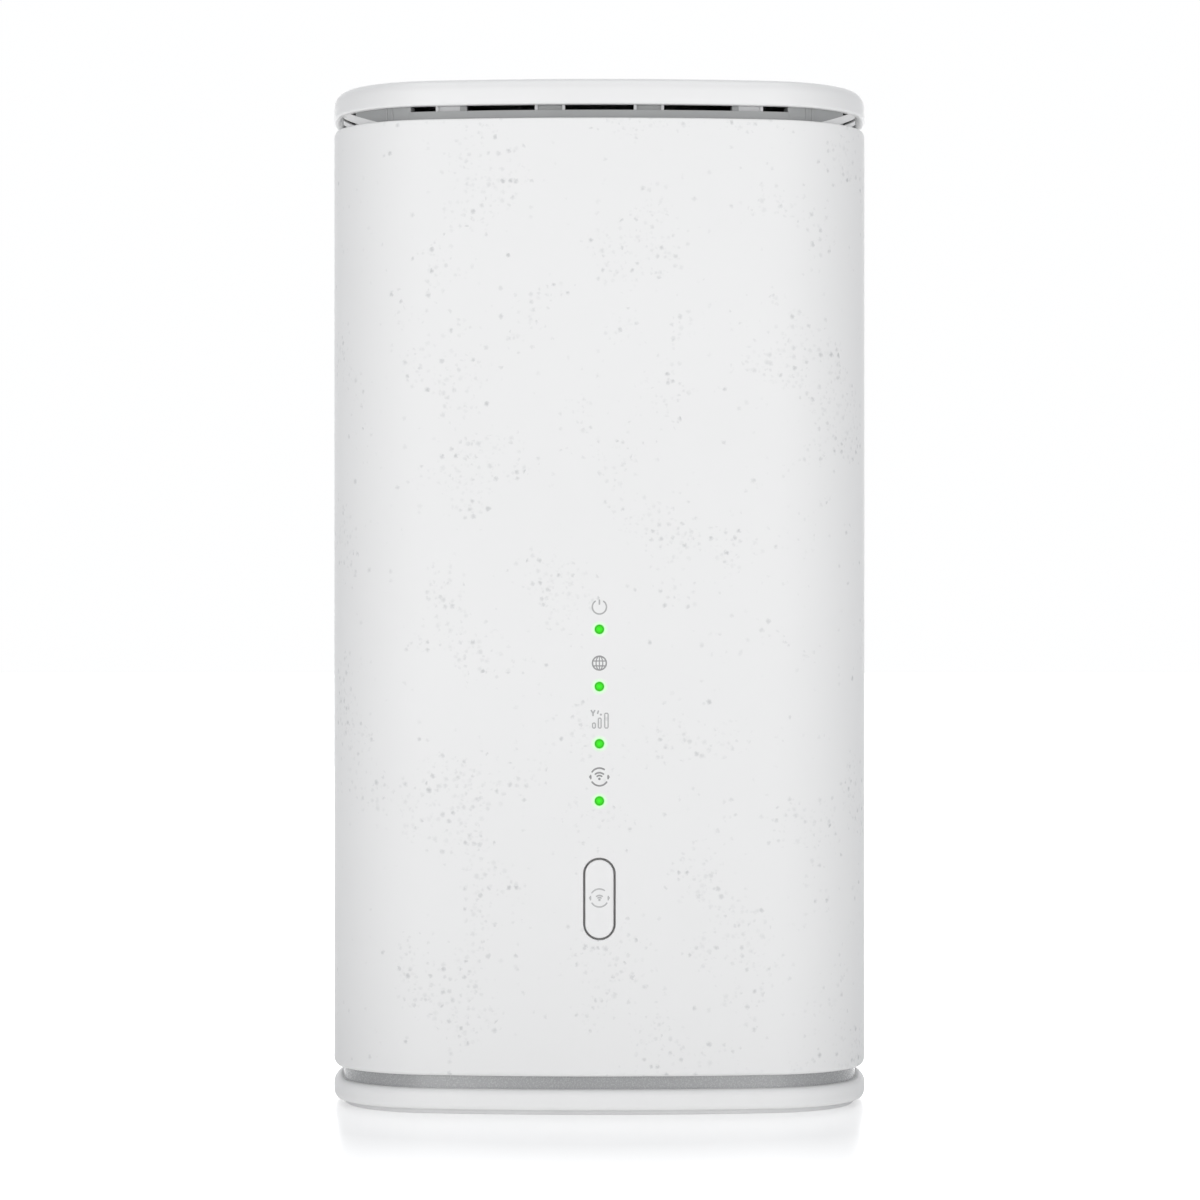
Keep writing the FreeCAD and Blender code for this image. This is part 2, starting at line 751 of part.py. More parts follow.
def make_lid():
    """White lid shell with two bosses under it, and the black baffle inside it."""
    lid = new_body("top_lid")
    case_ring(lid, "lid_plan", lid_low, dim.lid_height, 0)
    case_hollow(lid, "lid_hollow", lid_low, dim.lid_hollow, dim.lid_skirt)
    round_rim(lid, lid_high, 0, dim.lid_top_round)
    round_rim(lid, lid_low, 0, dim.lid_edge_round)
    ceiling = lid_low + dim.lid_hollow
    boss_low = dim.frame_top + dim.bridge_thickness
    bosses = sketch(lid, "XY_Plane", "lid_bosses", boss_low)
    bores = sketch(lid, "XY_Plane", "lid_bores", boss_low)
    for across in (-dim.lid_boss_place, dim.lid_boss_place):
        draw_circle(bosses, across, 0, dim.lid_boss_radius)
        draw_circle(bores, across, 0, dim.screw_radius)
    grow(lid, bosses, ceiling - boss_low)
    sink(lid, bores, dim.screw_length, True)

    baffle = new_body("lid_baffle")
    case_ring(baffle, "baffle_plan", ceiling - dim.baffle_thickness, dim.baffle_thickness, dim.baffle_inset)
    holes = sketch(baffle, "XY_Plane", "boss_holes", ceiling - dim.baffle_thickness)
    for across in (-dim.lid_boss_place, dim.lid_boss_place):
        draw_circle(holes, across, 0, dim.lid_boss_radius + dim.port_gap)
    sink(baffle, holes, dim.baffle_thickness, True)

    posts = []
    for side in (-1, 1):
        for end in (-1, 1):
            start = (dim.post_place_width * side, dim.post_place_depth * end, sleeve_high)
            posts.append(rod(f"lid_post_{len(posts)}", dim.post_radius, start, dim.vent_height))
    node(gathered("lid_posts", *posts), "lid_posts")


# ---------------------------------------------------------------- frames inside


def make_side_frames():
    """Two upright frames that carry the boards and the aerials, one the mirror of the other."""
    for label, side in (("left_frame", -1), ("right_frame", 1)):

        def span(name, near, far, front, back, low, high):
            left, right = (near * side, far * side) if side > 0 else (far * side, near * side)
            return box(f"{label}_{name}", (left, front, low), (right, back, high))

        inner = dim.frame_place
        outer = inner + dim.frame_thickness
        half = dim.frame_depth / 2
        foot = inner - dim.frame_foot_width
        wall = span("wall", inner, outer, -half, half, base_high, dim.frame_top)
        lower = span("foot", foot, inner, -dim.frame_foot_depth / 2, dim.frame_foot_depth / 2,
                     base_high, base_high + dim.frame_foot_height)
        upper = span("head", foot, inner, -dim.bridge_depth / 2, dim.bridge_depth / 2,
                     dim.frame_top - dim.frame_head_height, dim.frame_top)
        rail_front = dim.board_face - dim.rail_depth
        rail = span("rail", inner - dim.rail_width, inner, rail_front, dim.board_face,
                    dim.board_low, dim.board_high)
        tab_front = half - dim.tab_thickness
        tabs = []
        for level in panel_screw_levels():
            low, high = level - dim.tab_height / 2, level + dim.tab_height / 2
            near = inner - dim.tab_width
            tabs.append(span(f"tab_{len(tabs)}", near, inner, tab_front, panel_back, low, high))
        blank = joined(f"{label}_blank", wall, lower, upper, rail, *tabs)
        front = dim.window_set_back - dim.window_depth / 2
        back = dim.window_set_back + dim.window_depth / 2
        windows = []
        for low, height in (
            (dim.upper_window_low, dim.upper_window_height),
            (dim.lower_window_low, dim.lower_window_height),
        ):
            windows.append(span(f"window_{len(windows)}", inner, outer, front, back, low, low + height))
        bores = []
        for along in (-dim.base_screw_depth, dim.base_screw_depth):
            start = (dim.base_screw_place * side, along, base_high)
            bores.append(rod(f"{label}_bore_{len(bores)}", dim.screw_radius, start, dim.frame_foot_height))
        for level in board_screw_levels():
            start = ((inner - dim.rail_width / 2) * side, rail_front, level)
            bores.append(rod(f"{label}_bore_{len(bores)}", dim.screw_radius, start, dim.rail_depth, "y"))
        for level in panel_screw_levels():
            start = (dim.panel_screw_place * side, tab_front, level)
            length = panel_back - tab_front
            bores.append(rod(f"{label}_bore_{len(bores)}", dim.screw_radius, start, length, "y"))
        node(cut(label, blank, *windows, *bores), label)


def board_screw_levels():
    """Levels of the screws that hold the main board to its rails."""
    return (dim.board_low + dim.board_screw_margin, dim.board_high - dim.board_screw_margin)


def panel_screw_levels():
    """Levels of the screws that hold the rear panel to the frames."""
    return (dim.panel_low + dim.panel_screw_margin, dim.panel_high - dim.panel_screw_margin)


def make_bridge():
    """Bridge across the frame heads, which the lid is screwed to."""
    half = dim.bridge_depth / 2
    outer = dim.frame_place + dim.frame_thickness
    high = dim.frame_top + dim.bridge_thickness
    plate = box("bridge_plate", (-outer, -half, dim.frame_top), (outer, half, high))
    holes = []
    for across in (-dim.lid_boss_place, dim.lid_boss_place):
        start = (across, 0, dim.frame_top)
        holes.append(rod(f"bridge_hole_{len(holes)}", dim.screw_radius, start, dim.bridge_thickness))
    node(cut("top_bridge", plate, *holes), "top_bridge")


# ---------------------------------------------------------------- front lights and button


def make_light_module():
    """Light board with lamps, shroud and light pipes, on a carrier between the side frames."""
    board_face = dim.light_board_face
    board_rear = board_face + dim.light_board_thickness
    half = dim.light_board_width / 2
    low = (-half, board_face, dim.light_board_low)
    node(box("light_board", low, (half, board_rear, dim.light_board_high)), "light_board")

    half = dim.carrier_width / 2
    carrier_rear = board_rear + dim.carrier_thickness
    plate = box("carrier_plate", (-half, board_rear, dim.carrier_low), (half, carrier_rear, dim.carrier_high))
    arms = []
    for low in (dim.carrier_low + dim.arm_margin, dim.carrier_high - dim.arm_height - dim.arm_margin):
        reach = dim.frame_place
        start = (-reach, board_rear, low)
        arms.append(box(f"carrier_arm_{len(arms)}", start, (reach, carrier_rear, low + dim.arm_height)))
    node(joined("front_carrier", plate, *arms), "front_carrier")

    half = dim.shroud_width / 2
    low = (-half, dim.shroud_front, dim.shroud_low)
    blank = box("shroud_blank", low, (half, board_face, dim.light_board_high))
    bores, lamps = [], []
    for number, level in enumerate(light_levels, start=1):
        length = board_face - dim.shroud_front
        bores.append(rod(f"shroud_bore_{number}", dim.pipe_radius, (0, dim.shroud_front, level), length, "y"))
        lamp_front = board_face - dim.lamp_thickness
        low = (-dim.lamp_width / 2, lamp_front, level - dim.lamp_height / 2)
        high = (dim.lamp_width / 2, board_face, level + dim.lamp_height / 2)
        lamps.append(box(f"lamp_{number}", low, high))
        case_front = -dim.overall_depth / 2
        tip = rod(f"pipe_tip_{number}", dim.pipe_tip_radius, (0, case_front, level),
                  dim.shroud_front - case_front, "y")
        stem = rod(f"pipe_stem_{number}", dim.pipe_radius, (0, dim.shroud_front, level),
                   lamp_front - dim.shroud_front, "y")
        node(joined(f"light_pipe_{number}", tip, stem), f"light_pipe_{number}")
    node(cut("light_shroud", blank, *bores), "light_shroud")
    node(gathered("status_lights", *lamps), "status_lights")


def make_front_button():
    """Pill-shaped button cap, its guide, and the push switch with its plunger."""
    cap = doc.addObject("PartDesign::Body", "button_cap_blank")
    flange_back = dim.button_flange_front + dim.button_flange_thickness
    face = sketch(cap, "XZ_Plane", "button_face", -flange_back)
    draw_pill(face, dim.button_place, dim.button_width, dim.button_height)
    grow(cap, face, dim.overall_depth / 2 + flange_back)
    lip = sketch(cap, "XZ_Plane", "button_lip", -flange_back)
    spread = dim.button_flange_lip * 2
    draw_pill(lip, dim.button_place, dim.button_width + spread, dim.button_height + spread)
    grow(cap, lip, dim.button_flange_thickness)
    boss = sketch(cap, "XZ_Plane", "button_boss", -flange_back)
    draw_circle(boss, 0, dim.button_place, dim.button_boss_radius)
    grow(cap, boss, dim.plunger_front - flange_back, True)
    trim = case_block("button_trim", 0)
    node(shared("front_button", cap, trim), "front_button")

    guide = new_body("button_guide")
    half = dim.shroud_width / 2
    block = sketch(guide, "XZ_Plane", "guide_block", -dim.light_board_face)
    draw_rectangle(block, -half, dim.button_place - dim.guide_height / 2, dim.shroud_width, dim.guide_height)
    depth = dim.light_board_face - dim.shroud_front
    grow(guide, block, depth)
    track = sketch(guide, "XZ_Plane", "guide_track", -dim.light_board_face)
    loose = spread + dim.guide_gap * 2
    draw_pill(track, dim.button_place, dim.button_width + loose, dim.button_height + loose)
    sink(guide, track, depth, True)

    half = dim.switch_size / 2
    front = dim.light_board_face - dim.switch_depth
    low = (-half, front, dim.button_place - half)
    high = (half, dim.light_board_face, dim.button_place + half)
    bore = rod("switch_bore", dim.plunger_radius + dim.plunger_gap, (0, front, dim.button_place),
               dim.plunger_bore_depth, "y")
    node(cut("button_switch", box("switch_blank", low, high), bore), "button_switch")
    start = (0, dim.plunger_front, dim.button_place)
    node(rod("switch_plunger", dim.plunger_radius, start, dim.plunger_length, "y"), "switch_plunger")


# ---------------------------------------------------------------- main board


# Middle across, middle level, width and height of each large part on the main board.
CHIPS = (
    (0.0, 110.0, 32.0, 32.0),
    (-22.0, 140.0, 18.0, 18.0),
    (22.0, 140.0, 18.0, 18.0),
    (20.0, 80.0, 14.0, 14.0),
)
CANS = (
    (-30.0, 138.0, 22.0, 24.0),
    (30.0, 138.0, 22.0, 24.0),
    (-31.0, 84.0, 20.0, 24.0),
)


def make_main_board():
    """Upright main board with chips, thermal pads, heat sink, shield cans and its screws."""
    half = dim.board_half_width
    board = box("board_blank", (-half, dim.board_face, dim.board_low), (half, board_back, dim.board_high))
    rail_middle = dim.frame_place - dim.rail_width / 2
    sink_levels = (dim.sink_low + dim.sink_screw_margin, dim.sink_high - dim.sink_screw_margin)
    holes, board_screws, sink_screws = [], [], []
    for side in (-1, 1):
        for level in board_screw_levels():
            spot = (rail_middle * side, level)
            holes.append(hole_through_board(len(holes), spot))
            board_screws.append(screw(f"board_screw_{len(board_screws)}", spot[0], board_back, spot[1], "-y"))
        for level in sink_levels:
            spot = (dim.sink_screw_place * side, level)
            holes.append(hole_through_board(len(holes), spot))
            sink_screws.append(screw(f"sink_screw_{len(sink_screws)}", spot[0], board_back, spot[1], "-y"))
    node(cut("main_board", board, *holes), "main_board")
    node(gathered("board_screws", *board_screws), "board_screws")
    node(gathered("heat_sink_screws", *sink_screws), "heat_sink_screws")

    chips, pads = [], []
    chip_face = dim.board_face - dim.chip_thickness
    pad_face = chip_face - dim.pad_thickness
    for across, level, width, height in CHIPS:
        left, right = across - width / 2, across + width / 2
        low, high = level - height / 2, level + height / 2
        chips.append(box(f"chip_{len(chips)}", (left, chip_face, low), (right, dim.board_face, high)))
        pads.append(box(f"pad_{len(pads)}", (left, pad_face, low), (right, chip_face, high)))
    node(gathered("board_chips", *chips), "board_chips")
    node(gathered("thermal_pads", *pads), "thermal_pads")

    half = dim.sink_half_width
    fin_root = pad_face - dim.sink_plate
    plate = box("sink_plate", (-half, fin_root, dim.sink_low), (half, pad_face, dim.sink_high))
    pieces = [plate]
    for step in range(-5, 6):
        left = dim.fin_pitch * step - dim.fin_thickness / 2
        start = (left, fin_root - dim.fin_height, dim.sink_low)
        pieces.append(box(f"fin_{step + 5}", start, (left + dim.fin_thickness, fin_root, dim.sink_high)))
    bores = []
    for side in (-1, 1):
        for level in sink_levels:
            start = (dim.sink_screw_place * side, pad_face, level)
            pieces.append(rod(f"sink_post_{len(bores)}", dim.screw_head_radius, start,
                              dim.board_face - pad_face, "y"))
            start = (dim.sink_screw_place * side, board_back - dim.screw_length, level)
            bores.append(rod(f"sink_bore_{len(bores)}", dim.screw_radius, start, dim.screw_length, "y"))
    node(cut("heat_sink", joined("sink_blank", *pieces), *bores), "heat_sink")

    cans = []
    for across, level, width, height in CANS:
        name = f"can_{len(cans)}"
        left, right = across - width / 2, across + width / 2
        low, high = level - height / 2, level + height / 2
        back = board_back + dim.can_height
        wall = dim.can_wall
        shell = box(f"{name}_shell", (left, board_back, low), (right, back, high))
        room = (left + wall, board_back, low + wall)
        inside = box(f"{name}_inside", room, (right - wall, back - wall, high - wall))
        cans.append(cut(name, shell, inside))
    node(gathered("shield_cans", *cans), "shield_cans")


def hole_through_board(number, spot):
    """A screw hole through the main board."""
    start = (spot[0], dim.board_face, spot[1])
    return rod(f"board_hole_{number}", dim.screw_radius, start, dim.board_thickness, "y")


def screw(name, across, along, up, way):
    """A pan-head screw: the head sits on the given face and the shank runs the given way."""
    head, shank = dim.screw_head_height, dim.screw_length
    if way == "-y":
        start = (across, along - shank, up)
        shaft = rod(f"{name}_shank", dim.screw_radius, start, shank, "y")
        cap = rod(f"{name}_head", dim.screw_head_radius, (across, along, up), head, "y")
    else:
        shaft = rod(f"{name}_shank", dim.screw_radius, (across, along, up), shank)
        cap = rod(f"{name}_head", dim.screw_head_radius, (across, along, up - head), head)
    return joined(name, shaft, cap)


def make_modem():
    """Modem card in its edge socket, with its shield and its screw on a stand-off."""
    half = dim.modem_width / 2
    face = board_back + dim.modem_stand
    rear = face + dim.modem_thickness
    high = dim.modem_low + dim.modem_length
    node(box("modem_module", (-half, face, dim.modem_low), (half, rear, high)), "modem_module")

    reach = half - dim.modem_side_margin
    grip = dim.modem_low + dim.modem_socket_grip
    low = (-reach, board_back, dim.modem_low - dim.modem_socket_reach)
    blank = box("socket_blank", low, (reach, rear + dim.modem_socket_lip, grip))
    slot = box("socket_slot", (-half, face, dim.modem_low), (half, rear, grip))
    node(cut("modem_socket", blank, slot), "modem_socket")

    reach = half - dim.shield_side_margin
    low = (-reach, rear, dim.modem_low + dim.shield_low_margin)
    shield = box("modem_shield", low, (reach, rear + dim.shield_height, high - dim.shield_high_margin))
    node(shield, "modem_shield")

    level = high - dim.modem_screw_margin
    stand = rod("stand_off", dim.screw_head_radius, (0, board_back, level), dim.modem_stand, "y")
    head = rod("modem_screw_head", dim.screw_head_radius, (0, rear, level), dim.screw_head_height, "y")
    node(gathered("modem_fixing", stand, head), "modem_fixing")


# ---------------------------------------------------------------- rear panel and ports


def port_block(name, across, level, width, height):
    """The outside block of a port that runs from the board to the panel's face."""
    low = (across - width / 2, board_back, level - height / 2)
    return box(name, low, (across + width / 2, dim.panel_face, level + height / 2))


def make_rear_panel():
    """Sunken rear panel: a plate with a rim that lines the bay, cut for every port."""
    half = dim.panel_half_width
    plate = box("panel_plate", (-half, panel_back, dim.panel_low), (half, dim.panel_face, dim.panel_high))
    rim = doc.addObject("PartDesign::Body", "panel_rim_blank")
    outside = sketch(rim, "XZ_Plane", "rim_outside", -dim.panel_face)
    gap = dim.bay_gap
    width, height = dim.bay_width - gap * 2, dim.bay_height - gap * 2
    draw_rectangle(outside, -width / 2, dim.bay_low + gap, width, height)
    grow(rim, outside, dim.overall_depth / 2 - dim.panel_face, True)
    last = rim.Tip
    upright = [f"Edge{n}" for n, edge in enumerate(last.Shape.Edges, start=1) if edge.BoundBox.YLength > 1]
    rounded = rim.newObject("PartDesign::Fillet", "rim_round")
    rounded.Base = (last, upright)
    bind(rounded, "Radius", dim.bay_round - gap)
    inside = sketch(rim, "XZ_Plane", "rim_inside", -dim.panel_face)
    wall = dim.panel_rim
    draw_rectangle(inside, wall - width / 2, dim.bay_low + gap + wall, width - wall * 2, height - wall * 2)
    sink(rim, inside, dim.overall_depth / 2)
    trim = case_block("panel_trim", dim.panel_sunk)
    trimmed = shared("panel_rim", rim, trim)

    tools = []
    gap = dim.port_gap

    def window(width, height, across, level, back=panel_back):
        low = (across - width / 2 - gap, back, level - height / 2 - gap)
        high = (across + width / 2 + gap, dim.panel_face, level + height / 2 + gap)
        tools.append(box(f"panel_window_{len(tools)}", low, high))

    def hole(radius, across, level):
        start = (across, panel_back, level)
        tools.append(rod(f"panel_hole_{len(tools)}", radius, start, dim.panel_thickness, "y"))

    for side in (-1, 1):
        window(dim.jack_width, dim.jack_height, dim.jack_place * side, dim.jack_level)
        for level in panel_screw_levels():
            hole(dim.screw_radius, dim.panel_screw_place * side, level)
    window(dim.dc_size, dim.dc_size, size(0), dim.low_port_level)
    window(dim.usb_width, dim.usb_height, -dim.side_port_place, dim.low_port_level)
    window(dim.tray_width, dim.tray_thickness, size(0), dim.sim_level)
    window(dim.tray_face_width, dim.tray_face_height, size(0), dim.sim_level,
           dim.panel_face - dim.tray_face_thickness)
    hole(dim.reset_hole_radius, dim.side_port_place, dim.low_port_level)
    hole(dim.power_radius + dim.power_gap, size(0), dim.power_level)
    tool = joined("panel_tool", *tools)
    node(cut("rear_panel", joined("panel_blank", plate, trimmed), tool), "rear_panel")

    screws = []
    for side in (-1, 1):
        for level in panel_screw_levels():
            name = f"panel_screw_{len(screws)}"
            screws.append(screw(name, dim.panel_screw_place * side, dim.panel_face, level, "-y"))
    node(gathered("panel_screws", *screws), "panel_screws")


def make_ports():
    """Two network jacks, the power inlet and the usb port."""
    for number, side in enumerate((-1, 1), start=1):
        label = f"lan_jack_{number}"
        across = dim.jack_place * side
        blank = port_block(f"{label}_blank", across, dim.jack_level, dim.jack_width, dim.jack_height)
        front = dim.panel_face - dim.jack_mouth_depth
        low = dim.jack_level - dim.jack_mouth_height / 2
        half = dim.jack_mouth_width / 2
        mouth = box(f"{label}_mouth", (across - half, front, low),
                    (across + half, dim.panel_face, low + dim.jack_mouth_height))
        half = dim.latch_width / 2
        latch = box(f"{label}_latch", (across - half, front, low - dim.latch_height),
                    (across + half, dim.panel_face, low))
        node(cut(label, blank, joined(f"{label}_room", mouth, latch)), label)

    level = dim.low_port_level
    blank = port_block("dc_blank", size(0), level, dim.dc_size, dim.dc_size)
    start = (0, dim.panel_face - dim.dc_bore_depth, level)
    bore = rod("dc_bore", dim.dc_bore_radius, start, dim.dc_bore_depth, "y")
    pin = rod("dc_pin", dim.dc_pin_radius, start, dim.dc_bore_depth - dim.dc_pin_sunk, "y")
    node(joined("dc_jack", cut("dc_shell", blank, bore), pin), "dc_jack")

    across = -dim.side_port_place
    blank = port_block("usb_blank", across, level, dim.usb_width, dim.usb_height)
    front = dim.panel_face - dim.usb_mouth_depth
    half, rise = dim.usb_mouth_width / 2, dim.usb_mouth_height / 2
    low, high = (across - half, front, level - rise), (across + half, dim.panel_face, level + rise)
    mouth = box("usb_mouth", low, high)
    half, rise = half - dim.usb_tongue_margin, dim.usb_tongue_height / 2
    back = dim.panel_face - dim.usb_tongue_sunk
    tongue = box("usb_tongue", (across - half, front, level - rise), (across + half, back, level + rise))
    node(joined("usb_port", cut("usb_shell", blank, mouth), tongue), "usb_port")


def make_rear_buttons():
    """Power button and recessed reset button, each with its switch."""
    level = dim.power_level
    root = panel_back - dim.power_flange_set_back
    length = dim.panel_face + dim.power_proud - root
    cap = rod("power_cap", dim.power_radius, (0, root, level), length, "y")
    flange = rod("power_flange", dim.power_flange_radius, (0, root, level), dim.power_flange_thickness, "y")
    stem_start = board_back + dim.power_switch_length - dim.power_stem_grip
    stem = rod("power_stem", dim.power_stem_radius, (0, stem_start, level), root - stem_start, "y")
    node(joined("power_button", cap, flange, stem), "power_button")
    half = dim.power_switch_size / 2
    front = board_back + dim.power_switch_length
    blank = box("power_switch_blank", (-half, board_back, level - half), (half, front, level + half))
    depth = dim.power_bore_depth
    radius = dim.power_stem_radius + dim.power_bore_gap
    bore = rod("power_switch_bore", radius, (0, front - depth, level), depth, "y")
    node(cut("power_switch", blank, bore), "power_switch")

    across, level = dim.side_port_place, dim.low_port_level
    half = dim.reset_switch_size / 2
    front = board_back + dim.reset_switch_length
    low, high = (across - half, board_back, level - half), (across + half, front, level + half)
    blank = box("reset_switch_blank", low, high)
    depth = dim.reset_bore_depth
    radius = dim.reset_radius + dim.reset_gap
    bore = rod("reset_switch_bore", radius, (across, front - depth, level), depth, "y")
    node(cut("reset_switch", blank, bore), "reset_switch")
    start = (across, front - dim.reset_grip, level)
    node(rod("reset_button", dim.reset_radius, start, dim.reset_length, "y"), "reset_button")


def make_sim():
    """Sim tray with its card, in a socket behind the panel."""
    level = dim.sim_level
    rise = dim.tray_thickness / 2
    half = dim.tray_width / 2
    face_back = dim.panel_face - dim.tray_face_thickness
    tray_front = face_back - dim.tray_length
    plate = box("tray_plate", (-half, tray_front, level - rise), (half, face_back, level + rise))
    face_half, face_rise = dim.tray_face_width / 2, dim.tray_face_height / 2
    low = (-face_half, face_back, level - face_rise)
    face = box("tray_face", low, (face_half, dim.panel_face, level + face_rise))
    card_half = dim.sim_width / 2
    card_front = tray_front + dim.tray_end_bar
    low = (-card_half, card_front, level + rise - dim.sim_thickness)
    high = (card_half, card_front + dim.sim_length, level + rise)
    pocket = box("tray_pocket", low, high)
    node(cut("sim_tray", joined("tray_blank", plate, face), pocket), "sim_tray")
    node(box("sim_card", low, high), "sim_card")

    half, rise = dim.sim_socket_width / 2, dim.sim_socket_height / 2
    blank = box("sim_socket_blank", (-half, board_back, level - rise), (half, panel_back, level + rise))
    gap = dim.tray_gap
    half, rise = dim.tray_width / 2 + gap, dim.tray_thickness / 2 + gap
    low = (-half, tray_front - dim.tray_end_bar, level - rise)
    slot = box("sim_socket_slot", low, (half, panel_back, level + rise))
    node(cut("sim_socket", blank, slot), "sim_socket")


# ---------------------------------------------------------------- aerials, leads and ribbon


def make_aerials():
    """Stamped aerials on the outer faces of the side frames: two cellular and one wifi a side."""
    levels = (dim.cell_aerial_upper, dim.cell_aerial_lower)
    places = [(side, low) for low in levels for side in (-1, 1)]
    for number, (side, low) in enumerate(places, start=1):
        name = f"cell_antenna_{number}"
        back = dim.frame_depth / 2 - dim.aerial_margin
        front = back - dim.cell_aerial_depth
        high = low + dim.cell_aerial_height
        blank = aerial_sheet(f"{name}_blank", side, front, back, low, high)
        start = front + dim.cell_notch_place
        stop = start + dim.cell_notch_width
        notch = aerial_sheet(f"{name}_notch", side, start, stop, low, high - dim.cell_notch_bridge)
        start = front + dim.cell_slot_place
        stop = back - dim.cell_slot_edge
        slot_low = low + dim.cell_slot_low
        slot = aerial_sheet(f"{name}_slot", side, start, stop, slot_low, high - dim.cell_slot_bridge)
        node(cut(name, blank, notch, slot), name)
    for number, side in enumerate((-1, 1), start=1):
        name = f"wifi_antenna_{number}"
        front = dim.aerial_margin - dim.frame_depth / 2
        back = front + dim.wifi_aerial_depth
        low = dim.wifi_aerial_low
        high = low + dim.wifi_aerial_height
        blank = aerial_sheet(f"{name}_blank", side, front, back, low, high)
        start = front + dim.wifi_notch_place
        stop = start + dim.wifi_notch_width
        notch = aerial_sheet(f"{name}_notch", side, start, stop, low, high - dim.wifi_notch_bridge)
        node(cut(name, blank, notch), name)


def aerial_sheet(name, side, front, back, low, high):
    """A piece of aerial sheet on the outer face of one side frame."""
    inner = dim.frame_place + dim.frame_thickness
    outer = inner + dim.aerial_thickness
    left, right = (inner, outer) if side > 0 else (-outer, -inner)
    return box(name, (left, front, low), (right, back, high))


def bent_path(points, bend):
    """A wire through the points, straight between them with a round bend at each inner one."""
    pieces = []
    start = points[0]
    for before, corner, after in zip(points, points[1:], points[2:]):
        into = (before - corner).normalize()
        away = (after - corner).normalize()
        reach = bend * math.tan(math.pi / 2 - into.getAngle(away) / 2)
        first = corner + into * reach
        last = corner + away * reach
        half_way = (into + away).normalize()
        middle = corner + half_way * (math.hypot(reach, bend) - bend)
        pieces.append(Part.LineSegment(start, first))
        pieces.append(Part.Arc(first, middle, last))
        start = last
    pieces.append(Part.LineSegment(start, points[-1]))
    return Part.Wire([piece.toShape() for piece in pieces])


def swept(path, profile, area):
    """Sweeps a closed profile along a path and makes sure that none of its volume is lost."""
    solid = path.makePipeShell([profile], True, False)
    if abs(solid.Volume - area * path.Length) > 0.02 * area * path.Length:
        raise ValueError("a swept piece lost volume")
    return solid


def make_leads():
    """Coaxial leads with their plugs, from the aerials to the modem card and the main board."""
    wall = dim.frame_place + dim.frame_thickness + dim.aerial_thickness + dim.lead_radius
    modem_rear = board_back + dim.modem_stand + dim.modem_thickness
    card_plug = dim.modem_low + dim.modem_length - dim.plug_margin
    board_plug = dim.board_high - dim.plug_margin
    behind = modem_rear + dim.plug_height / 2
    ahead = dim.board_face - dim.plug_height / 2
    upper = dim.upper_window_low + dim.upper_window_height / 2
    lower = dim.lower_window_low + dim.lower_window_height / 2
    turn = upper - dim.lower_lead_drop
    feed = dim.feed_margin
    upper_feed = dim.cell_aerial_upper + dim.cell_aerial_height - feed
    lower_feed = dim.cell_aerial_lower + dim.cell_aerial_height - feed
    wifi_feed = dim.wifi_aerial_low + dim.wifi_aerial_height - feed
    front = dim.wifi_lead_front
    upper_end = (dim.upper_lead_place, behind, card_plug)
    lower_end = (dim.lower_lead_place, behind, card_plug)
    wifi_end = (dim.wifi_lead_place, ahead, board_plug)
    riser = dim.lower_lead_riser
    routes = [
        [(wall, behind, upper_feed), (wall, behind, upper), (upper_end[0], behind, upper), upper_end],
        [(wall, behind, lower_feed), (wall, behind, lower), (riser, behind, lower), (riser, behind, turn),
         (lower_end[0], behind, turn), lower_end],
        [(wall, front, wifi_feed), (wall, front, upper), (wifi_end[0], front, upper),
         (wifi_end[0], ahead, upper), wifi_end],
    ]
    leads, plugs = [], []
    radius = dim.lead_radius.value
    for side in (-1, 1):
        for route in routes:
            points = [Vector(across.value * side, along.value, up.value) for across, along, up in route]
            points[-1].z += dim.plug_radius.value
            path = bent_path(points, dim.lead_bend.value)
            section = Part.Wire(Part.Circle(points[0], points[1] - points[0], radius).toShape())
            leads.append(swept(path, section, math.pi * radius ** 2))
            across, along, up = route[-1]
            start = (across * side, along - dim.plug_height / 2, up)
            plugs.append(rod(f"plug_{len(plugs)}", dim.plug_radius, start, dim.plug_height, "y"))
    runs = doc.addObject("Part::Feature", "lead_runs")
    runs.Shape = Part.makeCompound(leads)
    node(gathered("antenna_leads", runs, *plugs), "antenna_leads")


def make_ribbon():
    """Flat ribbon from the light board to the main board, with a socket at each end."""
    board_rear = dim.light_board_face + dim.light_board_thickness
    half = dim.ribbon_socket_width / 2
    depth, height = dim.ribbon_socket_depth, dim.ribbon_socket_height
    front_low = dim.light_board_low + dim.front_ribbon_margin
    rear_low = dim.board_low + dim.rear_ribbon_margin
    high = (half, board_rear + depth, front_low + height)
    front = box("front_ribbon_socket", (-half, board_rear, front_low), high)
    high = (half, dim.board_face, rear_low + height)
    rear = box("rear_ribbon_socket", (-half, dim.board_face - depth, rear_low), high)
    node(gathered("ribbon_sockets", front, rear), "ribbon_sockets")

    start = (board_rear + depth / 2).value
    stop = (dim.board_face - depth / 2).value
    level = dim.ribbon_level.value
    low_points = [(start, front_low.value), (start, level), (stop, level), (stop, rear_low.value)]
    path = bent_path([Vector(0, along, up) for along, up in low_points], dim.lead_bend.value)
    half, rise = dim.ribbon_width.value / 2, dim.ribbon_thickness.value / 2
    spread = ((-half, -rise), (half, -rise), (half, rise), (-half, rise), (-half, -rise))
    section = Part.makePolygon([Vector(across, start + along, front_low.value) for across, along in spread])
    ribbon = doc.addObject("Part::Feature", "ribbon_cable")
    ribbon.Shape = swept(path, section, dim.ribbon_width.value * dim.ribbon_thickness.value)
    node(ribbon, "ribbon_cable")


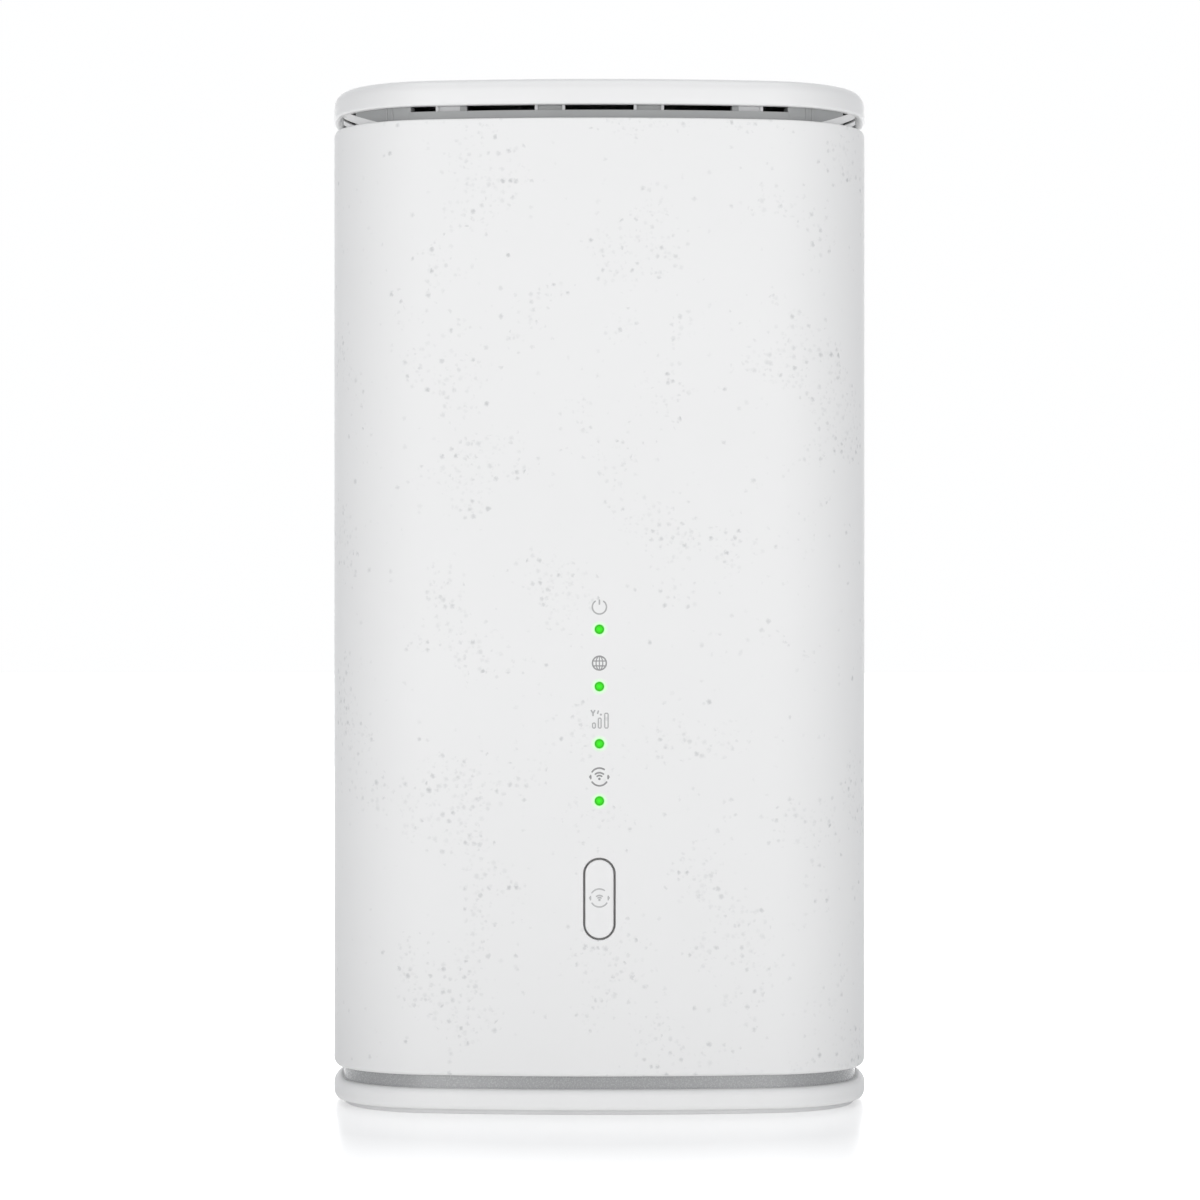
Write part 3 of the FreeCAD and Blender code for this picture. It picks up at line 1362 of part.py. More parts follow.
def make_case_screws():
    """Screws up through the base into the frames, and up through the bridge into the lid."""
    screws = []
    level = base_low + dim.base_screw_sunk
    for across in (-dim.base_screw_place, dim.base_screw_place):
        for along in (-dim.base_screw_depth, dim.base_screw_depth):
            screws.append(screw(f"base_screw_{len(screws)}", across, along, level, "+z"))
    node(gathered("base_screws", *screws), "base_screws")
    screws = []
    for across in (-dim.lid_boss_place, dim.lid_boss_place):
        screws.append(screw(f"lid_screw_{len(screws)}", across, 0, dim.frame_top, "+z"))
    node(gathered("lid_screws", *screws), "lid_screws")


make_base()
make_neck()
make_sleeve()
make_vent_ring()
make_lid()
make_side_frames()
make_bridge()
make_light_module()
make_front_button()
make_main_board()
make_modem()
make_rear_panel()
make_ports()
make_rear_buttons()
make_sim()
make_aerials()
make_leads()
make_ribbon()
make_case_screws()
doc.recompute()

for thing in doc.Objects:
    if "Invalid" in thing.State or "Error" in thing.State:
        raise ValueError(f"{thing.Label} failed to build: {thing.State}")
for thing in nodes:
    if thing.Shape.isNull() or not thing.Shape.isValid() or not thing.Shape.Solids:
        raise ValueError(f"{thing.Label} has no valid solid")
    thing.Shape.exportStep(f"parts/{thing.Label}.step")
print(len(nodes), "sub-parts,", sum(len(thing.Shape.Solids) for thing in nodes), "solids")
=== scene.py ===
import math

import bpy
import numpy as np
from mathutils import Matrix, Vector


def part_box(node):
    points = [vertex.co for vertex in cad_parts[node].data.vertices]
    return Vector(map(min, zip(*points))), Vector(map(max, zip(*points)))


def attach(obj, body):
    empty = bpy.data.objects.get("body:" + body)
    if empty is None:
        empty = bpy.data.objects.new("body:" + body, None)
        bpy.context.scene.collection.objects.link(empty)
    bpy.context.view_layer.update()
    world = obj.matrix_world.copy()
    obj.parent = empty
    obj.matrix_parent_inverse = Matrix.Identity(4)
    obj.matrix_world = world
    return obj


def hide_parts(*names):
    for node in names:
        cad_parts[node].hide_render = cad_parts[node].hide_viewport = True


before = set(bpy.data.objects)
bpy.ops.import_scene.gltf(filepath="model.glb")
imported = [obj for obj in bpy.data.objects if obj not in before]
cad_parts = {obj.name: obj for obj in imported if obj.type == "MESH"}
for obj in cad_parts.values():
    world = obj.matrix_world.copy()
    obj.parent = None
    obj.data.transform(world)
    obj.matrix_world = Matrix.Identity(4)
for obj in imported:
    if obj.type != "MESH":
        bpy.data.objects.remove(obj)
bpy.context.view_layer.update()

# ---------------------------------------------------------------- foot ring and base plate
# A flat foot ring of pale silicone is pressed into a groove under a thick white moulded plate.
# The plate carries the whole case, is rounded above and below, and has four screws sunk into its underside.

# The plan has three arc radii, in millimetres like every size here.
FRONT_RADIUS = 250.0
SIDE_RADIUS = 120.0
CORNER_RADIUS = 27.0


def span_of(node):
    """Lowest and highest corner of a part of the frame, in millimetres."""
    low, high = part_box(node)
    return np.array(low) * 1000, np.array(high) * 1000


sleeve_low, sleeve_high = span_of("outer_sleeve")
HALF_WIDTH, HALF_DEPTH = (sleeve_high - sleeve_low)[:2] / 2
side_shift = SIDE_RADIUS - HALF_WIDTH
front_shift = FRONT_RADIUS - HALF_DEPTH
side_reach = SIDE_RADIUS - CORNER_RADIUS
front_reach = FRONT_RADIUS - CORNER_RADIUS
apart = math.hypot(side_shift, front_shift)
part_way = (side_reach**2 - front_reach**2 + apart**2) / (2 * apart)
off_line = math.sqrt(side_reach**2 - part_way**2)
CORNER_X = (part_way * side_shift + off_line * front_shift) / apart - side_shift
CORNER_Y = (off_line * side_shift - part_way * front_shift) / apart
SIDE_TURN = math.atan2(CORNER_Y, CORNER_X + side_shift)
FRONT_TURN = math.atan2(CORNER_X, CORNER_Y + front_shift)
QUARTER = math.pi / 2


def outline(turn, inset):
    """The case plan, eight arcs that meet tangent. A point is its arc's centre plus the arc's radius, less
    the inset, in the direction that the wall faces there, which is the turn."""
    fold = np.arctan2(np.abs(np.sin(turn)), np.abs(np.cos(turn)))
    on_side = fold <= SIDE_TURN
    on_front = fold >= QUARTER - FRONT_TURN
    radius = np.where(on_side, SIDE_RADIUS, np.where(on_front, FRONT_RADIUS, CORNER_RADIUS)) - inset
    middle_x = np.where(on_side, -side_shift, np.where(on_front, 0.0, CORNER_X))
    middle_y = np.where(on_side, 0.0, np.where(on_front, -front_shift, CORNER_Y))
    across = middle_x * np.sign(np.cos(turn)) + radius * np.cos(turn)
    along = middle_y * np.sign(np.sin(turn)) + radius * np.sin(turn)
    return across, along


FRONT_RUN = FRONT_RADIUS * FRONT_TURN
CORNER_RUN = CORNER_RADIUS * (QUARTER - FRONT_TURN - SIDE_TURN)
SIDE_RUN = SIDE_RADIUS * SIDE_TURN
ARC_ENDS = np.cumsum([0, FRONT_RUN, CORNER_RUN, 2 * SIDE_RUN, CORNER_RUN, FRONT_RUN])
TURN_ENDS = np.array([0, FRONT_TURN, QUARTER - SIDE_TURN, QUARTER + SIDE_TURN, 2 * QUARTER - FRONT_TURN,
                      2 * QUARTER])
HALF_LAP = ARC_ENDS[-1]
SIDE_MIDDLE = HALF_LAP / 2
WALLS = {"front": 0.0, "right": SIDE_MIDDLE, "rear": HALF_LAP, "left": 2 * HALF_LAP - SIDE_MIDDLE}


def turn_at(run):
    """The direction the wall faces so many millimetres along it from the front's middle, anticlockwise. Each
    arc turns evenly along its length."""
    wrapped = np.mod(run + HALF_LAP, 2 * HALF_LAP) - HALF_LAP
    return np.sign(wrapped) * np.interp(np.abs(wrapped), ARC_ENDS, TURN_ENDS) - QUARTER


def lap_of(front, rear, sides, corner_steps):
    """Runs for one lap of the case: chosen places on the front, rear and side walls, with even steps round
    the four corners between them."""
    chosen = [np.asarray(places) + WALLS[wall] for wall, places in
              (("front", front), ("right", sides), ("rear", rear), ("left", sides), ("front", front))]
    chosen[-1] = chosen[-1] + 2 * HALF_LAP
    lap = []
    for places, after in zip(chosen, chosen[1:]):
        lap += [places, np.linspace(places[-1], after[0], corner_steps + 1)[1:-1]]
    return np.concatenate(lap)


PLAIN_LAP = lap_of(np.linspace(-38, 38, 39), np.linspace(-38, 38, 39), np.linspace(-15, 15, 13), 34)


class Skin:
    """Points and faces of one surface, gathered line by line in millimetres."""

    def __init__(self):
        self.points = []
        self.faces = []
        self.count = 0

    def add(self, points):
        """Takes an array of points and gives their numbers in the same layout."""
        numbers = np.arange(self.count, self.count + points[..., 0].size).reshape(points.shape[:-1])
        self.points.append(points.reshape(-1, 3))
        self.count += numbers.size
        return numbers

    def quads(self, numbers, keep=None):
        """Faces between neighbouring lines and neighbouring points of a grid of numbers."""
        made = np.stack([numbers[:-1, :-1], numbers[1:, :-1], numbers[1:, 1:], numbers[:-1, 1:]], -1)
        made = made.reshape(-1, 4) if keep is None else made[keep]
        self.faces += made.tolist()

    def tube(self, rings, start=None, stop=None):
        """Joins closed rings one after another. A start or stop point closes that end with a fan."""
        numbers = self.add(np.stack(rings, 1))
        closed = np.vstack([numbers, numbers[:1]])
        self.quads(closed)
        if start is not None:
            middle = self.add(np.array([start], float))[0]
            self.faces += [(second, first, middle) for first, second in zip(closed[:-1, 0], closed[1:, 0])]
        if stop is not None:
            middle = self.add(np.array([stop], float))[0]
            self.faces += [(first, second, middle) for first, second in zip(closed[:-1, -1], closed[1:, -1])]


def case_ring(inset, level, share=1.0):
    """One lap of the outline at an inset and a level, drawn in towards the middle by a share."""
    across, along = outline(turn_at(PLAIN_LAP), inset)
    return np.stack([across * share, along * share, np.full_like(across, level)], -1)


def fillet(start, stop, corner, steps=8):
    """A quarter round from one profile place to another, as (inset, level) pairs. The corner is where the two
    places would meet, and each place on the round is the corner plus a share, one less the sine or the cosine
    of the bend, of the way to each."""
    bend = np.linspace(0, QUARTER, steps + 1)[:, None]
    start, stop, corner = np.array(start, float), np.array(stop, float), np.array(corner, float)
    return corner + (start - corner) * (1 - np.sin(bend)) + (stop - corner) * (1 - np.cos(bend))


CREASE = math.radians(35)


def add_piece(name, skin, finish, body, stands_for=()):
    """Makes a skin into a smooth piece in metres, sharp only at creases, and hangs it on its body."""
    mesh = bpy.data.meshes.new(name)
    mesh.from_pydata((np.concatenate(skin.points) / 1000).tolist(), [], skin.faces)
    mesh.polygons.foreach_set("use_smooth", np.ones(len(mesh.polygons), bool))
    mesh.set_sharp_from_angle(angle=CREASE)
    mesh.materials.append(finish.material)
    mesh.update()
    piece = bpy.data.objects.new(name, mesh)
    bpy.context.scene.collection.objects.link(piece)
    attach(piece, body)
    if stands_for:
        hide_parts(*stands_for)
    return piece


class Finish:
    """One finish of the product: its surface shader and the object coordinates that its patterns follow."""

    def __init__(self, name, roughness, metallic=0.0, specular=0.5):
        self.material = bpy.data.materials.new(name)
        self.material.use_nodes = True
        self.tree = self.material.node_tree
        self.shader = self.tree.nodes["Principled BSDF"]
        self.shader.inputs["Roughness"].default_value = roughness
        self.shader.inputs["Metallic"].default_value = metallic
        self.shader.inputs["Specular IOR Level"].default_value = specular
        self.place = self.add("ShaderNodeTexCoord").outputs["Object"]

    def add(self, kind, *inputs, **settings):
        """Adds a node, sets it up and fills its inputs in order, with a link or with a value."""
        node = self.tree.nodes.new(kind)
        for setting, value in settings.items():
            setattr(node, setting, value)
        for socket, value in zip(node.inputs, inputs):
            self.fill(socket, value)
        return node

    def fill(self, socket, value):
        """Links or sets one input."""
        if isinstance(value, bpy.types.NodeSocket):
            self.tree.links.new(value, socket)
        elif value is not None:
            socket.default_value = value

    def math(self, operation, *terms):
        """A sum, product or other operation on values."""
        return self.add("ShaderNodeMath", *terms, operation=operation).outputs[0]

    def noise(self, size, detail=3.0, place=None):
        """Soft random values whose blotches are about the given size in millimetres."""
        node = self.add("ShaderNodeTexNoise")
        self.fill(node.inputs["Vector"], place or self.place)
        node.inputs["Scale"].default_value = 1000 / size
        node.inputs["Detail"].default_value = detail
        return node.outputs[0]

    def ramp(self, value, low, high, start=0.0, stop=1.0):
        """Carries a value from one range to another and holds it there."""
        return self.add("ShaderNodeMapRange", value, low, high, start, stop).outputs[0]

    def mix(self, share, first, second):
        """A colour between two colours."""
        node = self.add("ShaderNodeMix", data_type="RGBA")
        for socket, value in ((node.inputs[0], share), (node.inputs[6], first), (node.inputs[7], second)):
            self.fill(socket, value)
        return node.outputs[2]

    def colour(self, value):
        """Sets the surface colour."""
        self.fill(self.shader.inputs["Base Color"], value)

    def relief(self, height, depth, strength=0.5):
        """Raises the surface by a height map, with a depth in millimetres."""
        node = self.add("ShaderNodeBump")
        node.inputs["Strength"].default_value = strength
        node.inputs["Distance"].default_value = depth / 1000
        self.fill(node.inputs["Height"], height)
        self.fill(self.shader.inputs["Normal"], node.outputs[0])


def shade(red, green=None, blue=None, level=1.0):
    """A colour with its alpha. One number alone is a grey."""
    green = red if green is None else green
    blue = red if blue is None else blue
    return (red * level, green * level, blue * level, 1.0)


def moulded(name, colour, roughness, mottle=0.03, grain=0.35, specular=0.4):
    """Moulded plastic: a faint flow mottle in the colour, a fine spark-eroded grain and an uneven sheen."""
    made = Finish(name, roughness, specular=specular)
    flow = made.noise(14.0, 4.0)
    darker = tuple(part * (1 - mottle) for part in colour[:3]) + (1.0,)
    made.colour(made.mix(made.ramp(flow, 0.35, 0.65), darker, colour))
    fine = made.noise(grain, 2.0)
    made.fill(made.shader.inputs["Roughness"], made.ramp(fine, 0.3, 0.7, roughness - 0.05, roughness + 0.05))
    made.relief(fine, 0.012, 0.25)
    return made


def dress(finish, *nodes):
    """Gives a finish to parts of the frame, whose meshes stay as they are."""
    for name in nodes:
        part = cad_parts[name]
        if not part.material_slots:
            part.data.materials.append(finish.material)
        for place in part.material_slots:
            place.material = finish.material


FOOT_INSET = 2.4
FOOT_WIDTH = 5.0
FOOT_EDGE = 0.5
foot_inner = FOOT_INSET + FOOT_WIDTH
foot_top = span_of("rubber_foot")[1][2]
foot_profile = np.concatenate([
    fillet((FOOT_INSET + FOOT_EDGE, 0), (FOOT_INSET, FOOT_EDGE), (FOOT_INSET, 0), 4),
    [(FOOT_INSET, foot_top), (foot_inner, foot_top)],
    fillet((foot_inner, FOOT_EDGE), (foot_inner - FOOT_EDGE, 0), (foot_inner, 0), 4),
])
foot_profile = np.vstack([foot_profile, foot_profile[:1]])
foot_skin = Skin()
foot_skin.tube([case_ring(inset, level) for inset, level in foot_profile])
silicone = moulded("pale_silicone", shade(0.72, 0.72, 0.725), 0.62, mottle=0.05, grain=0.5)
add_piece("foot_ring", foot_skin, silicone, "housing", ["rubber_foot"])

BASE_BOTTOM_ROUND = 1.3
BASE_TOP_ROUND = 1.9
GROOVE_DEPTH = 0.8
FLAT_SHARES = (0.25, 0.6, 0.9)
base_bottom, base_top = (corner[2] for corner in span_of("base_plate"))
groove_level = base_bottom + GROOVE_DEPTH
base_profile = np.concatenate([
    [(foot_inner, base_bottom), (foot_inner, groove_level)],
    [(FOOT_INSET, groove_level), (FOOT_INSET, base_bottom)],
    fillet((BASE_BOTTOM_ROUND, base_bottom), (0, base_bottom + BASE_BOTTOM_ROUND), (0, base_bottom)),
    fillet((0, base_top - BASE_TOP_ROUND), (BASE_TOP_ROUND, base_top), (0, base_top)),
])
base_skin = Skin()
base_rings = [case_ring(foot_inner, base_bottom, share) for share in FLAT_SHARES]
base_rings += [case_ring(inset, level) for inset, level in base_profile]
base_rings += [case_ring(BASE_TOP_ROUND, base_top, share) for share in FLAT_SHARES[::-1]]
base_skin.tube(base_rings, (0, 0, base_bottom), (0, 0, base_top))
base_white = moulded("base_white_moulding", shade(0.824, 0.822, 0.817), 0.5, mottle=0.012)
add_piece("base_cover", base_skin, base_white, "housing", ["base_plate"])

# ---------------------------------------------------------------- ballast, label and base screws
# A zinc-plated steel plate under the frames keeps the tall case from tipping. Plated screws hold the base on,
# and a blank paper label is stuck between them.


def plated_steel(name, colour, roughness):
    """Plated sheet metal: rolled streaks along X, a cloudy plating and a fine scratch grain."""
    made = Finish(name, roughness, metallic=1.0)
    stretch = made.add("ShaderNodeMapping")
    made.fill(stretch.inputs["Vector"], made.place)
    stretch.inputs["Scale"].default_value = (0.12, 1.0, 1.0)
    streaks = made.noise(1.2, 4.0, stretch.outputs[0])
    clouds = made.noise(9.0, 3.0)
    darker = tuple(part * 0.82 for part in colour[:3]) + (1.0,)
    made.colour(made.mix(made.ramp(clouds, 0.3, 0.7), darker, colour))
    uneven = made.ramp(streaks, 0.3, 0.7, roughness - 0.08, roughness + 0.1)
    made.fill(made.shader.inputs["Roughness"], uneven)
    made.relief(streaks, 0.01, 0.3)
    return made


zinc = plated_steel("zinc_plate", shade(0.66, 0.67, 0.68), 0.34)
dress(zinc, "base_weight", "base_screws", "board_screws", "heat_sink_screws", "lid_screws", "panel_screws")
paper = moulded("blank_label_film", shade(0.78, 0.78, 0.76), 0.4, mottle=0.05)
dress(paper, "product_label")

# ---------------------------------------------------------------- neck ring
# A grey moulded ring holds the sleeve off the base. Its upper half is a spigot inside the sleeve, and air
# enters through five slots at the rear and two at each side.


def wall_place(wall, across, level, inset):
    """Points so far along the wall from the middle of its front, rear or side, at a level and an inset."""
    x, y = outline(turn_at(WALLS[wall] + across), inset)
    return np.stack([x, y, np.broadcast_to(level, x.shape)], -1)


def opening_line(half_width, half_height, radius, steps_across, steps_up, crowd=1.0):
    """A rounded rectangle as one closed line, anticlockwise from the middle of its lower left corner. A
    place on a side runs along the straight part, then round the corner arc, where the steps are crowd times
    finer."""
    flat = (half_width, half_height, steps_across)
    upright = (half_height, half_width, steps_up)
    sides = []
    for side, (along, out, steps) in enumerate((flat, upright, flat, upright)):
        run = np.linspace(-1, 1, steps, endpoint=False)
        straight = along - radius
        reach = np.abs(run) * (straight + crowd * radius * QUARTER / 2)
        bend = np.clip(reach - straight, 0, None) / (crowd * radius)
        shift = np.sign(run) * (np.minimum(reach, straight) + radius * np.sin(bend))
        rise = out - radius + radius * np.cos(bend)
        sides.append(((shift, -rise), (rise, shift), (-shift, rise), (-rise, -shift))[side])
    return np.concatenate([side[0] for side in sides]), np.concatenate([side[1] for side in sides])


class Opening:
    """A rounded opening in a wall: where its middle is, its size, its rounded edge, and how far from the
    middle the wall's grid is cleared for it."""

    def __init__(self, wall, across, level, half_width, half_height, radius, edge, reach_across, reach_up,
                 crowd=1.0):
        self.wall, self.across, self.level = wall, across, level
        self.half_width, self.half_height, self.radius = half_width, half_height, radius
        self.edge, self.reach_across, self.reach_up, self.crowd = edge, reach_across, reach_up, crowd

    def line(self, spread, steps_across, steps_up):
        """The opening's outline, widened all round by a spread."""
        return opening_line(self.half_width + spread, self.half_height + spread, self.radius + spread,
                            steps_across, steps_up, self.crowd)


def nearest(values, wanted):
    """The place in a row of values that is nearest to the wanted one."""
    return int(np.argmin(np.abs(values - wanted)))


# How far out towards the patch's border each ring round an opening lies, on either side of the wall.
OUTER_SHARES = (0.72, 0.48, 0.28, 0.12)
INNER_SHARES = (0.0, 0.35, 0.7)


def walled_shell(skin, lap, profile, outer_rows, inner_rows, openings):
    """Carries a closed wall profile round the case and leaves openings in it. Each opening clears a patch of
    the grid in the outer and the inner wall, then rings run from the patch's border in to the opening's
    outline, over its rounded edge, through the wall, and out again to the inner border."""
    insets, levels = profile.T
    across, along = outline(turn_at(lap)[:, None], insets[None, :])
    numbers = skin.add(np.stack([across, along, np.broadcast_to(levels, across.shape)], -1))
    keep = np.ones(numbers.shape, bool)
    for opening in openings:
        local = lap - WALLS[opening.wall] - opening.across
        columns = np.arange(nearest(local, -opening.reach_across), nearest(local, opening.reach_across) + 1)
        borders, rings = [], []
        for rows, shares in ((outer_rows, OUTER_SHARES), (inner_rows, INNER_SHARES)):
            rise = levels[rows] - opening.level
            chosen = rows[nearest(rise, -opening.reach_up):nearest(rise, opening.reach_up) + 1]
            keep[np.ix_(columns[:-1], np.minimum(chosen[:-1], chosen[1:]))] = False
            steps_across, steps_up = len(columns) - 1, len(chosen) - 1
            border_columns = np.concatenate([columns[:-1], np.full(steps_up, columns[-1]), columns[:0:-1],
                                             np.full(steps_up, columns[0])])
            border_rows = np.concatenate([np.full(steps_across, chosen[0]), chosen[:-1],
                                          np.full(steps_across, chosen[-1]), chosen[:0:-1]])
            borders.append(numbers[border_columns, border_rows])
            outer = rows is outer_rows
            sideways, up = opening.line(opening.edge if outer else 0.0, steps_across, steps_up)
            inset = insets[rows[len(rows) // 2]]
            for share in shares:
                spread_across = sideways + (local[border_columns] - sideways) * share
                spread_up = up + (levels[border_rows] - opening.level - up) * share
                rings.append(wall_place(opening.wall, spread_across + opening.across,
                                        spread_up + opening.level, inset))
            for bend in np.linspace(0, QUARTER, 5) if outer else ():
                sideways, up = opening.line(opening.edge * (1 - math.sin(bend)), steps_across, steps_up)
                rings.append(wall_place(opening.wall, sideways + opening.across, up + opening.level,
                                        inset + opening.edge * (1 - math.cos(bend))))
        inside = skin.add(np.stack(rings, 1))
        whole = np.hstack([borders[0][:, None], inside, borders[1][:, None]])
        skin.quads(np.vstack([whole, whole[:1]]))
    looped = np.vstack([numbers, numbers[:1]])
    skin.quads(np.hstack([looped, looped[:, :1]]), keep)


NECK_INSET = 2.3
SPIGOT_INSET = 2.4
RING_INNER = 4.4
INLET_HALF_WIDTH = 6.0
INLET_HALF_HEIGHT = 0.75
INLET_ROUND = 0.7
INLET_REACH = 6.8
INLET_REACH_UP = 1.15
INLET_PITCH = 16.0
INLET_EDGE = 0.15
neck_low, neck_high = span_of("base_neck")
shelf = sleeve_low[2]
inlet_level = (neck_low[2] + shelf) / 2
inlet_rows = inlet_level + np.linspace(-INLET_REACH_UP, INLET_REACH_UP, 5)
neck_outer = np.concatenate([[neck_low[2]], inlet_rows, [shelf]])
neck_profile = np.array([(NECK_INSET, level) for level in neck_outer]
                        + [(SPIGOT_INSET, shelf), (SPIGOT_INSET, neck_high[2]), (RING_INNER, neck_high[2])]
                        + [(RING_INNER, level) for level in neck_outer[::-1]])
inlet_grid = np.linspace(-INLET_REACH, INLET_REACH, 17)
rear_grid, side_grid = (np.concatenate([inlet_grid + INLET_PITCH * step for step in steps])
                        for steps in (range(-2, 3), range(-1, 2)))
neck_lap = lap_of(np.linspace(-38, 38, 27), rear_grid, side_grid, 24)
inlets = [Opening(wall, INLET_PITCH * step, inlet_level, INLET_HALF_WIDTH, INLET_HALF_HEIGHT, INLET_ROUND,
                  INLET_EDGE, INLET_REACH, INLET_REACH_UP)
          for wall, steps in (("rear", range(-2, 3)), ("right", (0, 1)), ("left", (-1, 0)))
          for step in steps]
neck_count = len(neck_outer)
neck_skin = Skin()
neck_rows = np.arange(len(neck_profile))
walled_shell(neck_skin, neck_lap, neck_profile, neck_rows[:neck_count], neck_rows[::-1][:neck_count], inlets)
neck_grey = moulded("neck_grey_moulding", shade(0.33, 0.334, 0.338), 0.26, mottle=0.05, specular=1.0)
add_piece("neck_ring", neck_skin, neck_grey, "housing", ["base_neck"])

# ---------------------------------------------------------------- side frames and bridge
# Two upright glass-filled frames stand on the base and carry everything inside. A bridge ties their heads
# together, and the lid is screwed to it.

frame_plastic = moulded("glass_filled_grey", shade(0.11, 0.112, 0.118), 0.6, mottle=0.25, grain=0.8)
dress(frame_plastic, "left_frame", "right_frame", "top_bridge", "front_carrier")

# ---------------------------------------------------------------- light board, shroud and button switch
# A narrow board behind the front wall has four green lamps in a black shroud, so that no light leaks from one
# to the next, and the button's push switch in its guide.


def laminate(name, colour, track):
    """Circuit board: a green solder mask over fine copper tracks that show through as paler lines."""
    made = Finish(name, 0.38)
    cells = made.add("ShaderNodeTexVoronoi", feature="DISTANCE_TO_EDGE")
    made.fill(cells.inputs["Vector"], made.place)
    cells.inputs["Scale"].default_value = 260.0
    tracks = made.ramp(cells.outputs["Distance"], 0.03, 0.07, 1.0, 0.0)
    cloud = made.noise(7.0, 3.0)
    made.colour(made.mix(made.math("MULTIPLY", tracks, made.ramp(cloud, 0.4, 0.6)), colour, track))
    made.relief(tracks, 0.03, 0.4)
    return made


mask_green = laminate("solder_mask_green", shade(0.012, 0.105, 0.045), shade(0.03, 0.2, 0.085))
dress(mask_green, "light_board", "main_board", "modem_module")
black_plastic = moulded("black_moulding", shade(0.012, 0.012, 0.013), 0.55, mottle=0.3)
# The lid baffle's black is painted shade: a dark sheet under the lid, where the view through the vent slots
# falls into shade.
dress(black_plastic, "light_shroud", "button_guide", "lid_baffle")
switch_plastic = moulded("switch_body", shade(0.03, 0.03, 0.032), 0.42, mottle=0.2)
dress(switch_plastic, "button_switch", "switch_plunger", "power_switch", "reset_switch", "reset_button",
      "ribbon_sockets")
lamp = moulded("lamp_green_resin", shade(0.03, 0.6, 0.08), 0.3, mottle=0.2)
lamp.shader.inputs["Emission Color"].default_value = shade(0.05, 1.0, 0.1)
lamp.shader.inputs["Emission Strength"].default_value = 1.0
dress(lamp, "status_lights")

# ---------------------------------------------------------------- main board, heat sink and modem
# The upright main board holds the large chips. A finned extrusion of anodised aluminium is screwed over them
# with soft pads between, and tinned shield cans and the modem card sit on the rear face.

resin = moulded("chip_resin_black", shade(0.02, 0.02, 0.022), 0.5, mottle=0.25, grain=0.2)
dress(resin, "board_chips")
putty = moulded("thermal_pad_putty", shade(0.26, 0.33, 0.42), 0.8, mottle=0.12, grain=0.6)
dress(putty, "thermal_pads")
anodised = plated_steel("clear_anodised", shade(0.55, 0.56, 0.57), 0.42)
dress(anodised, "heat_sink")
tin = plated_steel("tinned_sheet", shade(0.74, 0.74, 0.73), 0.28)
dress(tin, "shield_cans", "modem_shield", "modem_fixing", "usb_port", "sim_socket")
dress(switch_plastic, "modem_socket")

# ---------------------------------------------------------------- rear panel and ports
# A sunken grey panel fills the bay in the sleeve's rear. It frames two network jacks, the power inlet, a usb
# port, the power button, the reset pin hole and the sim tray.

panel_grey = moulded("panel_grey_moulding", shade(0.30, 0.303, 0.31), 0.55, mottle=0.06)
dress(panel_grey, "rear_panel", "sim_tray")
jack_black = moulded("jack_black_nylon", shade(0.018, 0.018, 0.02), 0.4, mottle=0.2)
dress(jack_black, "lan_jack_1", "lan_jack_2", "dc_jack")
CONTACT_PITCH = 1.02
CONTACT_COUNT = 8
CONTACT_HALF = (0.2, 0.12)
CONTACT_ROUND = 0.08
CONTACT_SET_BACK = 2.0
CONTACT_LENGTH = 9.0
CONTACT_RISE = 3.05
CONTACT_DROP = 2.8
contact_skin = Skin()
spring = np.linspace(0, 1, 12)
for jack in ("lan_jack_1", "lan_jack_2"):
    jack_low, jack_high = span_of(jack)
    jack_middle = (jack_low + jack_high) / 2
    out = jack_high[1] - CONTACT_SET_BACK - CONTACT_LENGTH * spring
    level = jack_middle[2] + CONTACT_RISE - CONTACT_DROP * spring**1.6
    for number in range(CONTACT_COUNT):
        middle = jack_middle[0] + CONTACT_PITCH * (number - (CONTACT_COUNT - 1) / 2)
        wide, thick = opening_line(*CONTACT_HALF, CONTACT_ROUND, 3, 3)
        rings = [np.stack([middle - wide, np.full_like(wide, y), z + thick], -1) for y, z in zip(out, level)]
        contact_skin.tube(rings, (middle, out[0], level[0]), (middle, out[-1], level[-1]))
gold = plated_steel("contact_gold", shade(0.83, 0.62, 0.28), 0.25)
add_piece("jack_contacts", contact_skin, gold, "housing")
button_grey = moulded("power_button_grey", shade(0.5, 0.5, 0.505), 0.45)
dress(button_grey, "power_button")
card = moulded("sim_card_body", shade(0.72, 0.72, 0.70), 0.4)
dress(card, "sim_card")

# ---------------------------------------------------------------- aerials, leads and ribbon
# Stamped copper aerials lie on the outer faces of the side frames. Thin coaxial leads run over the top of the
# frames to the boards, and a flat ribbon joins the light board to the main board.

copper = plated_steel("bright_copper", shade(0.80, 0.42, 0.26), 0.3)
dress(copper, "cell_antenna_1", "cell_antenna_2", "cell_antenna_3", "cell_antenna_4", "wifi_antenna_1",
      "wifi_antenna_2")
jacket = moulded("lead_jacket_black", shade(0.02, 0.02, 0.022), 0.45, mottle=0.2)
dress(jacket, "antenna_leads")
ribbon_film = moulded("ribbon_film_white", shade(0.62, 0.62, 0.58), 0.4, mottle=0.06)
dress(ribbon_film, "ribbon_cable")

# ---------------------------------------------------------------- sleeve
# One tall white moulding with fine grey flecks in the resin, open at both ends. Its front has four light
# holes and the button hole, and its rear has the port bay.

